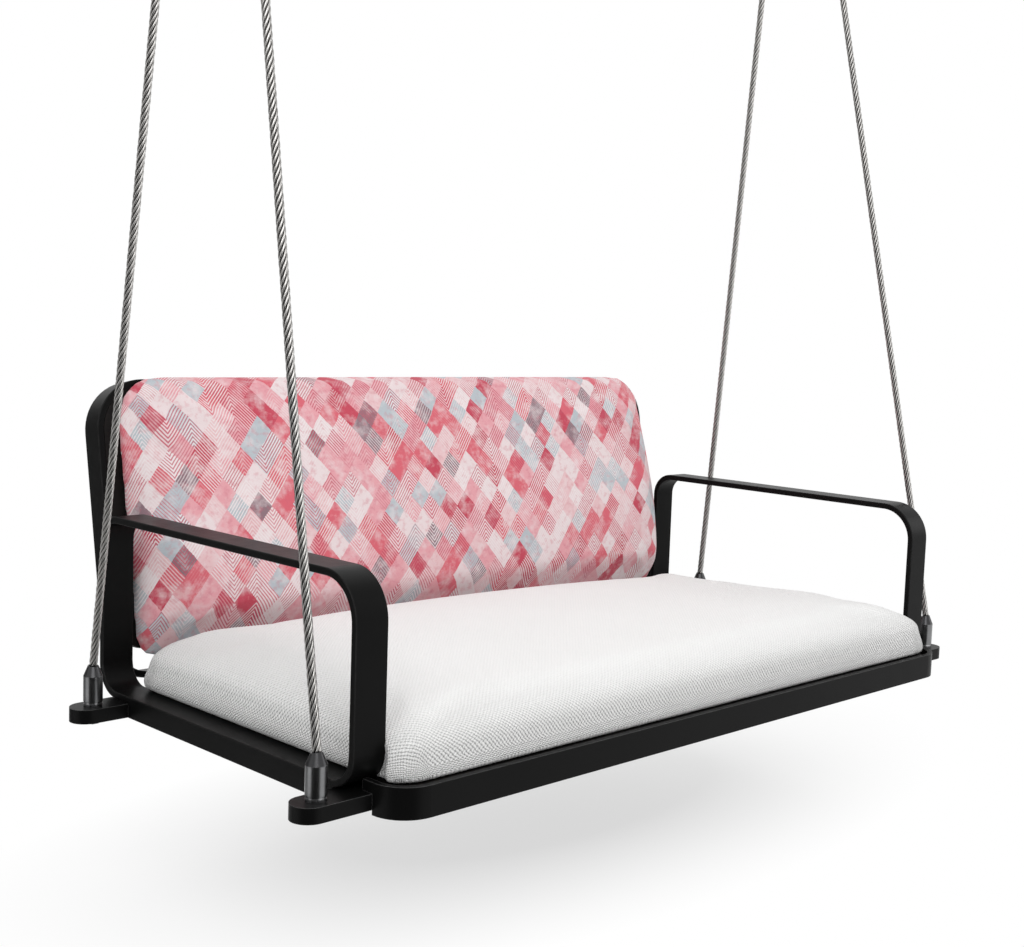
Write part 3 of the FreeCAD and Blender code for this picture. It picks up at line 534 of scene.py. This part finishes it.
ROPE_RADIUS = 0.00575
STRANDS = 6
STRAND_RADIUS = ROPE_RADIUS / 3
STRAND_LAY = 0.062
WIRES = 4
WIRE_LAY = 0.032
WIRE_DEPTH = 0.3
WIRE_SIDES = 4
STRAND_VALLEY_SHADE = 1.9
WIRE_VALLEY_SHADE = 0.8
ROUTE_STEPS = 24
RING_STEP = 0.0022
END_RUN = 12 * ROPE_RADIUS


def rope_ends(tag):
    """Middle of the rope's two end faces, lower first, from its solid."""
    points = np.array([vertex.co for vertex in nodes["rope_" + tag].data.vertices])
    middle = points.mean(axis=0)
    axis = np.linalg.svd(points - middle, full_matrices=False)[2][0]
    axis = axis if axis[2] > 0 else -axis
    along = (points - middle) @ axis
    return Vector(middle + axis * along.min()), Vector(middle + axis * along.max())


def route_line(name, route):
    """Points along the smooth line that has the route's points as its control points."""
    curve = bpy.data.curves.new(name, "CURVE")
    curve.dimensions = "3D"
    curve.resolution_u = ROUTE_STEPS
    spline = curve.splines.new("NURBS")
    spline.points.add(len(route) - 1)
    for point, place in zip(spline.points, route):
        point.co = (*place, 1.0)
    spline.order_u = 3
    spline.use_endpoint_u = True
    holder = bpy.data.objects.new(name, curve)
    scene.collection.objects.link(holder)
    bpy.context.view_layer.update()
    mesh = bpy.data.meshes.new_from_object(holder.evaluated_get(bpy.context.evaluated_depsgraph_get()))
    points = np.array([vertex.co for vertex in mesh.vertices])
    bpy.data.meshes.remove(mesh)
    bpy.data.objects.remove(holder)
    bpy.data.curves.remove(curve)
    return points


def tube_faces(rings, sides, start):
    """Faces of a closed tube whose points are numbered ring by ring."""
    faces = []
    for ring in range(rings - 1):
        low = start + ring * sides
        for side in range(sides):
            after = (side + 1) % sides
            faces.append((low + side, low + after, low + sides + after, low + sides + side))
    faces.append(tuple(start + side for side in reversed(range(sides))))
    faces.append(tuple(start + (rings - 1) * sides + side for side in range(sides)))
    return faces


def make_rope(tag):
    """Six strands round a core, each with lobes for its wires, along the rope's line."""
    low, high = rope_ends(tag)
    axis = (high - low).normalized()
    route = [low, low + axis * END_RUN, high - axis * END_RUN, high]
    line = route_line("route_" + tag, route)
    steps = np.linalg.norm(np.diff(line, axis=0), axis=1)
    along = np.concatenate(([0.0], np.cumsum(steps)))
    length = along[-1]
    rings = int(length / RING_STEP) + 1
    marks = np.linspace(0.0, length, rings)
    centre = np.stack([np.interp(marks, along, line[:, k]) for k in range(3)], axis=1)
    side_x = np.array(axis.orthogonal().normalized())
    side_y = np.cross(np.array(axis), side_x)
    sides = WIRES * WIRE_SIDES
    places = []
    valley_shade = []
    faces = []
    turns = 2 * math.pi * np.arange(sides) / sides
    for strand in range(STRANDS + 1):
        is_core = strand == STRANDS
        reach = 0.0 if is_core else ROPE_RADIUS - STRAND_RADIUS
        swing = 2 * math.pi * (marks / STRAND_LAY + strand / STRANDS)
        middle = centre + reach * (np.cos(swing)[:, None] * side_x + np.sin(swing)[:, None] * side_y)
        twist = -2 * math.pi * marks / WIRE_LAY
        angle = turns[None, :] + swing[:, None]
        lobe = np.abs(np.cos((turns[None, :] - twist[:, None]) * WIRES / 2))
        radius = STRAND_RADIUS * (1 - WIRE_DEPTH * (1 - np.sqrt(lobe)))
        ring = (
            middle[:, None, :]
            + (radius * np.cos(angle))[:, :, None] * side_x
            + (radius * np.sin(angle))[:, :, None] * side_y
        )
        faces += tube_faces(rings, sides, len(places) * rings * sides)
        places.append(ring.reshape(-1, 3))
        # Painted shade: how deep in the valleys between strands and between wires a point lies, which
        # darkens the wire's colour
        out = reach + radius * np.cos(angle - swing[:, None])
        inward = np.clip(1.0 - out / ROPE_RADIUS, 0.0, 1.0)
        between = (1.0 - lobe) ** 2
        depth = np.clip(STRAND_VALLEY_SHADE * inward + WIRE_VALLEY_SHADE * between, 0.0, 1.0)
        valley_shade.append(depth.reshape(-1))
    mesh = bpy.data.meshes.new("rope_strands_" + tag)
    mesh.from_pydata(np.concatenate(places).tolist(), [], faces)
    mesh.attributes.new("valley_shade", "FLOAT", "POINT").data.foreach_set("value", np.concatenate(valley_shade))
    mesh.shade_smooth()
    piece = bpy.data.objects.new("rope_strands_" + tag, mesh)
    scene.collection.objects.link(piece)
    dress(piece, "wire_rope")
    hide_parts("rope_" + tag)
    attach(piece, "swing")


CORNERS = [end + "_" + side for end in ("front", "rear") for side in ("left", "right")]
for corner in CORNERS:
    make_rope(corner)


# Filled welds that close the seam between each arm's lower bar and the side beam under it

WELD_HIGH = 0.0026
WELD_DEEP = 0.0026
WELD_PROUD = 0.00015


def make_weld(side, sign):
    """A flat strip of filler, three-sided in section, along the seam."""
    low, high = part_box("side_beam_" + side)
    face = (high.x if sign > 0 else low.x) + sign * WELD_PROUD
    section = ((face, high.z + WELD_HIGH), (face - sign * WELD_DEEP, high.z), (face, high.z - WELD_HIGH))
    places = [(x, y, z) for y in (low.y, high.y) for x, z in section]
    faces = [(0, 1, 2), (5, 4, 3), (0, 3, 4, 1), (1, 4, 5, 2), (2, 5, 3, 0)]
    mesh = bpy.data.meshes.new("weld_" + side)
    mesh.from_pydata(places, [], faces if sign > 0 else [item[::-1] for item in faces])
    piece = bpy.data.objects.new("weld_" + side, mesh)
    scene.collection.objects.link(piece)
    mesh.materials.append(WELD_PAINT)
    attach(piece, "swing")


make_weld("left", -1)
make_weld("right", 1)


# Cushions

VOXEL = 0.007
PRESSURE = 4.0
CROWN_ROOM = (0.0, 0.0, 0.006)
CLOTH = {
    "quality": 4,
    "mass": 0.3,
    "tension_stiffness": 18,
    "compression_stiffness": 18,
    "shear_stiffness": 8,
    "bending_stiffness": 0.6,
    "use_pressure": True,
    "uniform_pressure_force": PRESSURE,
}
CLOTH_FRAMES = 20
HELD_DEPTH = 1.5 * VOXEL
TINY = 1e-9


def swell(node, name, frame_axes, start_inset, cap):
    """A pad that cloth under pressure has filled out, started from a smaller copy of the solid.

    frame_axes are the pad's own origin, width, height and face directions. The cloth moves by cap at most.
    Returns the piece, its points in the pad's own axes, those axes and the solid's two corners in them.
    """
    origin, wide, high, face = frame_axes
    mesh = nodes[node].data.copy()
    piece = bpy.data.objects.new(name, mesh)
    scene.collection.objects.link(piece)
    basis = np.array([wide, high, face])
    points = np.array([vertex.co for vertex in mesh.vertices]) - np.array(origin)
    local = points @ basis.T
    low, top = local.min(axis=0), local.max(axis=0)
    middle, half = (low + top) / 2, (top - low) / 2
    shrink = (half[:2] - start_inset) / half[:2]
    local[:, :2] = middle[:2] + (local[:, :2] - middle[:2]) * shrink
    local[:, 2] = low[2] + (local[:, 2] - low[2]) * (1 - start_inset / (top[2] - low[2]))
    mesh.vertices.foreach_set("co", (local @ basis + np.array(origin)).ravel())
    mesh.materials.clear()
    remesh = piece.modifiers.new("remesh", "REMESH")
    remesh.mode = "VOXEL"
    remesh.voxel_size = VOXEL
    apply_modifiers(piece)
    start = read_points(piece)
    local = (start - np.array(origin)) @ basis.T
    held = piece.vertex_groups.new(name="held")
    resting = np.flatnonzero(local[:, 2] < low[2] + HELD_DEPTH)
    held.add([int(index) for index in resting], 1.0, "REPLACE")
    cloth = piece.modifiers.new("cloth", "CLOTH")
    for key, value in CLOTH.items():
        setattr(cloth.settings, key, value)
    cloth.settings.vertex_group_mass = "held"
    cloth.settings.effector_weights.gravity = 0.0
    cloth.collision_settings.use_collision = False
    for number in range(1, CLOTH_FRAMES + 1):
        scene.frame_set(number)
    apply_modifiers(piece)
    scene.frame_set(1)
    moved = read_points(piece) - start
    far = np.linalg.norm(moved, axis=1)
    keep = np.minimum(1.0, cap / np.maximum(far, TINY))
    start = start + moved * keep[:, None]
    local = (start - np.array(origin)) @ basis.T
    return piece, local, basis, low, top


def apply_modifiers(piece):
    """Make the piece's evaluated mesh its own."""
    bpy.context.view_layer.update()
    mesh = bpy.data.meshes.new_from_object(piece.evaluated_get(bpy.context.evaluated_depsgraph_get()))
    piece.modifiers.clear()
    old = piece.data
    piece.data = mesh
    bpy.data.meshes.remove(old)


def read_points(piece):
    points = np.empty(len(piece.data.vertices) * 3)
    piece.data.vertices.foreach_get("co", points)
    return points.reshape(-1, 3)


SHOULDER_START = 0.25


def unroll(local, low, top, corner, shoulder):
    """Cloth coordinates that run on over the shoulder and down the sides of a pad."""
    middle, half = (low + top)[:2] / 2, (top - low)[:2] / 2
    flat = local[:, :2] - middle
    core = np.clip(flat, -(half - corner), half - corner)
    away = flat - core
    reach = np.linalg.norm(away, axis=1)
    outward = away / np.maximum(reach, TINY)[:, None]
    fall = np.clip(top[2] - SHOULDER_START * shoulder - local[:, 2], 0.0, None)
    bend = np.minimum(fall, shoulder)
    arc = shoulder * np.arccos(np.clip(1 - bend / shoulder, -1.0, 1.0))
    plane = np.sqrt(np.maximum(shoulder**2 - (shoulder - bend) ** 2, 0.0))
    extra = arc - plane + np.maximum(fall - shoulder, 0.0)
    extra *= np.clip(reach / corner, 0.0, 1.0)
    return flat + outward * extra[:, None]


def finish_pad(piece, local, basis, origin, cloth, slot, node):
    """Give a pad its final points, cloth coordinates and material, in place of its solid."""
    points = local @ basis + np.array(origin)
    piece.data.vertices.foreach_set("co", points.ravel())
    both = np.column_stack((cloth, np.zeros(len(cloth))))
    piece.data.attributes.new("cloth", "FLOAT_VECTOR", "POINT").data.foreach_set("vector", both.ravel())
    piece.data.shade_smooth()
    fine = piece.modifiers.new("fine", "SUBSURF")
    fine.levels = 1
    fine.render_levels = 1
    dress(piece, slot)
    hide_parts(node)
    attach(piece, "swing")


# Seat: start inside the solid, the cloth's longest move, corner and shoulder for unrolling, smoothing
SEAT_INSET = 0.005
SEAT_CAP = 0.010
SEAT_ROLL = (0.05, 0.04)
SEAT_ROUNDS = (6, 3)
# How far the ends stand out, before and behind the arm's post
SIDE_BULGE = 0.025
BULGE_HOLD = 0.88
BULGE_FOOT = 0.25
BULGE_FADE = 0.34
FRONT_BULGE = 0.021
FRONT_FOOT = 0.9
FOOT_RISE = 0.12
# Where the arm's post starts and ends, from the seat's front, and how the pad closes in on it
POST_FRONT = 0.047
POST_BACK = 0.062
FRONT_PINCH = 0.016
SIDE_PINCH = 0.040
PINCH_SOFT = 0.006
BULGE_REACH = 0.15
CORNER_BULGE = 0.7
CORNER_REACH = 0.05
# How much the foam leans, and where along its depth
SEAT_LEAN = 0.011
FRONT_LEAN = -0.6
LEAN_START = 0.2
LEAN_END = 0.6
# Corners, shoulders and the depth below the crown at which the weave turns crisp and its gaps take deeper
# painted shade
SEAT_CORNER = 0.05
REAR_POWER = 2.8
FRONT_POWER = 2.7
SHOULDER_FILL = 0.007
SHOULDER_LIFT = 0.4
CRISP_SHADE_FROM = 0.004
CRISP_SHADE_DEPTH = 0.058
RELAX_STEPS = (0.5, -0.52)


def ease(value):
    """A smooth step from 0 to 1."""
    value = np.clip(value, 0.0, 1.0)
    return value * value * (3 - 2 * value)


def shape_corners(local, low, top, side, size, power):
    """Square up (power above 2) or round off (below 2) the two corners on one side of a pad."""
    out = local.copy()
    edge = top[1] if side > 0 else low[1]
    inner = np.array([top[0] - size, side * edge - size])
    away = np.column_stack((np.abs(local[:, 0]), side * local[:, 1])) - inner
    both = (away > 0).all(axis=1)
    reach = np.linalg.norm(away[both], axis=1)
    aim = away[both] / np.maximum(reach, TINY)[:, None]
    stretch = (aim**power).sum(axis=1) ** (-1 / power)
    amount = 1 + (stretch - 1) * ease(reach / size)
    moved = inner + away[both] * amount[:, None]
    out[both, 0] = np.sign(local[both, 0]) * moved[:, 0]
    out[both, 1] = side * moved[:, 1]
    return out


def smooth_min(first, second, width):
    """The smaller of two values, rounded where they are within width of each other."""
    share = np.clip(0.5 + 0.5 * (second - first) / width, 0.0, 1.0)
    return first * share + second * (1 - share) - width * share * (1 - share)


def bulge(local, low, top):
    """How far the seat's ends lean out over the arm's lower bar, held back beside the arm's post."""
    up = np.clip((local[:, 2] - low[2]) / (top[2] - low[2]), 0.0, 1.0)
    along = local[:, 1] - low[1]
    reach = np.abs(local[:, 0])
    near = ease((reach - top[0] + BULGE_REACH) / BULGE_REACH)
    rise = BULGE_HOLD + (1 - BULGE_HOLD) * ease(up / BULGE_FOOT)
    rise = rise * (1 - ease((up - BULGE_FADE) / (1 - BULGE_FADE)))
    corner = CORNER_BULGE + (1 - CORNER_BULGE) * ease(along / CORNER_REACH)
    behind = SIDE_BULGE * ease((along - POST_BACK) / SIDE_PINCH)
    foot = FRONT_FOOT + (1 - FRONT_FOOT) * ease(up / FOOT_RISE)
    before = FRONT_BULGE * foot * ease((POST_FRONT - along) / FRONT_PINCH)
    out = smooth_min(reach + SIDE_BULGE * rise * near * corner, top[0] + behind + before, PINCH_SOFT)
    return np.sign(local[:, 0]) * np.maximum(out - reach, 0.0)


def lean(local, low, top):
    """The foam is a little uneven: fuller at the rear edge's left and at the front edge's right."""
    up = np.clip((local[:, 2] - low[2]) / (top[2] - low[2]), 0.0, 1.0)
    depth = (local[:, 1] - low[1]) / (top[1] - low[1])
    share = FRONT_LEAN + (1 - FRONT_LEAN) * ease((depth - LEAN_START) / (LEAN_END - LEAN_START))
    return -SEAT_LEAN * local[:, 0] / top[0] * share * up


def relax(piece, local, rounds):
    """Smooth the small lumps that the simulation leaves, without losing volume."""
    pairs = np.empty(len(piece.data.edges) * 2, dtype=np.int32)
    piece.data.edges.foreach_get("vertices", pairs)
    first, second = pairs.reshape(-1, 2).T
    count = np.bincount(pairs, minlength=len(local))[:, None]
    for step in RELAX_STEPS * rounds:
        total = np.zeros_like(local)
        np.add.at(total, first, local[second])
        np.add.at(total, second, local[first])
        local = local + step * (total / count - local)
    return local


def fill_shoulder(piece, local, basis, origin):
    """Fuller shoulders at the two ends of the seat, where the foam is cut square."""
    piece.data.vertices.foreach_set("co", (local @ basis + np.array(origin)).ravel())
    piece.data.update()
    normals = np.empty(local.size)
    piece.data.vertex_normals.foreach_get("vector", normals)
    normals = normals.reshape(-1, 3) @ basis.T
    slope = np.clip(normals[:, 2], 0.0, 1.0) ** 2
    amount = SHOULDER_FILL * 4 * slope * (1 - slope) * np.abs(normals[:, 0])
    return local + normals * (1.0, 1.0, SHOULDER_LIFT) * amount[:, None]


def make_seat():
    """The seat pad, in axes along X, Y and Z from the middle of its lower face."""
    low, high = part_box("seat_cushion")
    origin = Vector(((low.x + high.x) / 2, (low.y + high.y) / 2, low.z))
    axes = (origin, Vector((1, 0, 0)), Vector((0, 1, 0)), Vector((0, 0, 1)))
    piece, local, basis, low, top = swell("seat_cushion", "seat_pad", axes, SEAT_INSET, SEAT_CAP)
    local = np.clip(local, low, top + CROWN_ROOM)
    local = relax(piece, local, SEAT_ROUNDS[0])
    cloth = unroll(local, low, top, *SEAT_ROLL)
    local = shape_corners(local, low, top, 1, SEAT_CORNER, REAR_POWER)
    local = shape_corners(local, low, top, -1, SEAT_CORNER, FRONT_POWER)
    local[:, 0] += bulge(local, low, top)
    local[:, 2] += lean(local, low, top)
    local = fill_shoulder(piece, local, basis, origin)
    local = relax(piece, local, SEAT_ROUNDS[1])
    finish_pad(piece, local, basis, origin, cloth, "seat_fabric", "seat_cushion")
    # Stronger relief and deeper painted shade in the weave's gaps, from the crown down the sides
    crisp_and_shade = ease((top[2] - CRISP_SHADE_FROM - local[:, 2]) / CRISP_SHADE_DEPTH)
    piece.data.attributes.new("crisp_and_shade", "FLOAT", "POINT").data.foreach_set("value", crisp_and_shade)


RECLINE = math.radians(10)
BACK_INSET = 0.006
BACK_CAP = 0.008
BACK_ROLL = (0.07, 0.025)
BACK_ROUNDS = (10, 4)
LUMBAR = 0.022
LUMBAR_FACE = 0.02
LUMBAR_START = (0.02, 0.08)
LUMBAR_END = (0.13, 0.42)
BACK_TOP_CORNER = 0.09
BACK_TOP_POWER = 1.75
BACK_LOW_CORNER = 0.05
BACK_LOW_POWER = 3.0
BACK_SHIFT = 0.004


def lumbar(local, low):
    """Extra depth of the back just above the seat."""
    up = local[:, 1] - low[1]
    rise = ease((up - LUMBAR_START[0]) / (LUMBAR_START[1] - LUMBAR_START[0]))
    fall = 1 - ease((up - LUMBAR_END[0]) / (LUMBAR_END[1] - LUMBAR_END[0]))
    return LUMBAR * rise * fall


def make_back():
    """The back pad, in axes across, up the leaning back and out of its face."""
    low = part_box("back_board")[0]
    up = Vector((0.0, math.sin(RECLINE), math.cos(RECLINE)))
    face = Vector((0.0, -math.cos(RECLINE), math.sin(RECLINE)))
    origin = Vector((0.0, low.y, low.z))
    points = np.array([vertex.co for vertex in nodes["back_cushion"].data.vertices])
    depth = (points - np.array(origin)) @ np.array(face)
    origin = origin + face * float(depth.min())
    axes = (origin, Vector((1, 0, 0)), up, face)
    piece, local, basis, low, top = swell("back_cushion", "back_pad", axes, BACK_INSET, BACK_CAP)
    local = np.clip(local, low, top + CROWN_ROOM)
    local = relax(piece, local, BACK_ROUNDS[0])
    cloth = unroll(local, low, top, *BACK_ROLL)
    local = shape_corners(local, low, top, 1, BACK_TOP_CORNER, BACK_TOP_POWER)
    local = shape_corners(local, low, top, -1, BACK_LOW_CORNER, BACK_LOW_POWER)
    local[:, 2] += lumbar(local, low) * ease((local[:, 2] - low[2]) / LUMBAR_FACE)
    local[:, 0] += BACK_SHIFT
    local = relax(piece, local, BACK_ROUNDS[1])
    finish_pad(piece, local, basis, origin, cloth, "back_fabric", "back_cushion")


make_seat()
make_back()


# Floor, light and background

AMBIENT = 0.67
# Dark and grey panels: place from the seat's datum, size and level
FLAGS = {
    "front": ((-2.4, -2.3, -0.7), (5.2, 4.2), 0.01),
    "left": ((-2.0, 3.0, 0.0), (3.6, 2.8), 0.4),
}
# Lamps: place and aim from the seat's datum, size and power
LAMPS = {
    "key": ((-1.75, -1.85, 2.3), (0.0, 0.0, 0.1), 2.4, 38.0),
    "top": ((0.6, 0.6, 3.2), (0.0, 0.0, 0.0), 3.0, 16.0),
    "right": ((2.6, -1.6, 1.3), (0.2, 0.0, 0.2), 1.6, 12.0),
}
FLOOR_SIZE = 14.0
FLOOR_TONE = colour(0.93, 0.93, 0.93)
WHITE = colour(1.0, 1.0, 1.0)
FLOOR_BELOW_SEAT = 0.26
SHADOW_CENTRE = (0.14, 0.19)
SHADOW_REACH = (0.95, 0.45)
FADE_START = 0.45
FADE_END = 1.15
SHADOW_WASH = 0.62


def make_floor():
    """A white floor that keeps the shadow under the seat, lightened there by a painted white glow, and
    fades to plain white glow around it.
    """
    bpy.ops.mesh.primitive_plane_add(size=FLOOR_SIZE, location=(0.0, SEAT.y, SEAT.z - FLOOR_BELOW_SEAT))
    floor = bpy.context.object
    floor.name = "floor"
    floor.visible_glossy = False
    graph = Graph("floor_white")
    graph.surface(Base_Color=FLOOR_TONE, Roughness=0.9, Specular_IOR_Level=0.0)
    centre = {0: graph.place(), 1: (*SHADOW_CENTRE, 0.0)}
    away = graph.add("VectorMath", centre, operation="SUBTRACT").outputs[0]
    reach = {0: away, 1: (*SHADOW_REACH, 1.0)}
    scaled = graph.add("VectorMath", reach, operation="DIVIDE").outputs[0]
    place = graph.add("VectorMath", {0: scaled}, operation="LENGTH").outputs["Value"]
    # Painted light: the share of white glow over the lit floor, least under the seat and growing outwards,
    # which sets how dark the shadow looks
    far = graph.spread(place, SHADOW_WASH, 1.0, FADE_START, FADE_END)
    path = graph.add("LightPath")
    seen = graph.math("MAXIMUM", path.outputs["Is Camera Ray"], path.outputs["Is Glossy Ray"])
    seen = graph.math("MAXIMUM", seen, path.outputs["Is Transmission Ray"])
    white = graph.add("Emission", {"Color": WHITE, "Strength": 1.0})
    mix = graph.add("MixShader", {0: graph.math("MULTIPLY", far, seen), 1: graph.shader, 2: white})
    graph.tree.links.new(mix.outputs[0], graph.tree.nodes["Material Output"].inputs["Surface"])
    floor.data.materials.append(graph.material)


def make_world():
    """Plain white to look at and in reflections, and softer as light."""
    world = bpy.data.worlds.new("studio")
    scene.world = world
    world.use_nodes = True
    tree = world.node_tree
    back = tree.nodes["Background"]
    back.inputs["Color"].default_value = WHITE
    path = tree.nodes.new("ShaderNodeLightPath")
    seen = tree.nodes.new("ShaderNodeMath")
    seen.operation = "MAXIMUM"
    tree.links.new(path.outputs["Is Camera Ray"], seen.inputs[0])
    tree.links.new(path.outputs["Is Glossy Ray"], seen.inputs[1])
    also = tree.nodes.new("ShaderNodeMath")
    also.operation = "MAXIMUM"
    tree.links.new(seen.outputs[0], also.inputs[0])
    tree.links.new(path.outputs["Is Transmission Ray"], also.inputs[1])
    level = tree.nodes.new("ShaderNodeMapRange")
    level.inputs["To Min"].default_value = AMBIENT
    level.inputs["To Max"].default_value = 1.0
    tree.links.new(also.outputs[0], level.inputs["Value"])
    tree.links.new(level.outputs["Result"], back.inputs["Strength"])


def make_flag(name, place, size, level):
    """A dark or grey panel that only shows in glossy surfaces, as in a studio."""
    bpy.ops.mesh.primitive_plane_add(size=1.0, location=SEAT + Vector(place))
    flag = bpy.context.object
    flag.name = "flag_" + name
    flag.scale = (*size, 1.0)
    flag.rotation_euler = (SEAT - flag.location).to_track_quat("Z", "Y").to_euler()
    graph = Graph("flag_" + name)
    graph.surface(Base_Color=grey(level), Roughness=1.0, Specular_IOR_Level=0.0)
    flag.data.materials.append(graph.material)
    flag.visible_camera = False
    flag.visible_diffuse = False
    flag.visible_transmission = False
    flag.visible_shadow = False


def make_lamp(name, place, aim, size, power):
    """A round area lamp, placed and aimed from the seat's datum."""
    data = bpy.data.lights.new(name, "AREA")
    data.shape = "DISK"
    data.size = size
    data.energy = power
    lamp = bpy.data.objects.new(name, data)
    lamp.location = SEAT + Vector(place)
    lamp.rotation_euler = (SEAT + Vector(aim) - lamp.location).to_track_quat("-Z", "Y").to_euler()
    scene.collection.objects.link(lamp)


make_floor()
make_world()
for name, flag in FLAGS.items():
    make_flag(name, *flag)
for name, lamp in LAMPS.items():
    make_lamp(name, *lamp)

scene.view_settings.view_transform = "Standard"
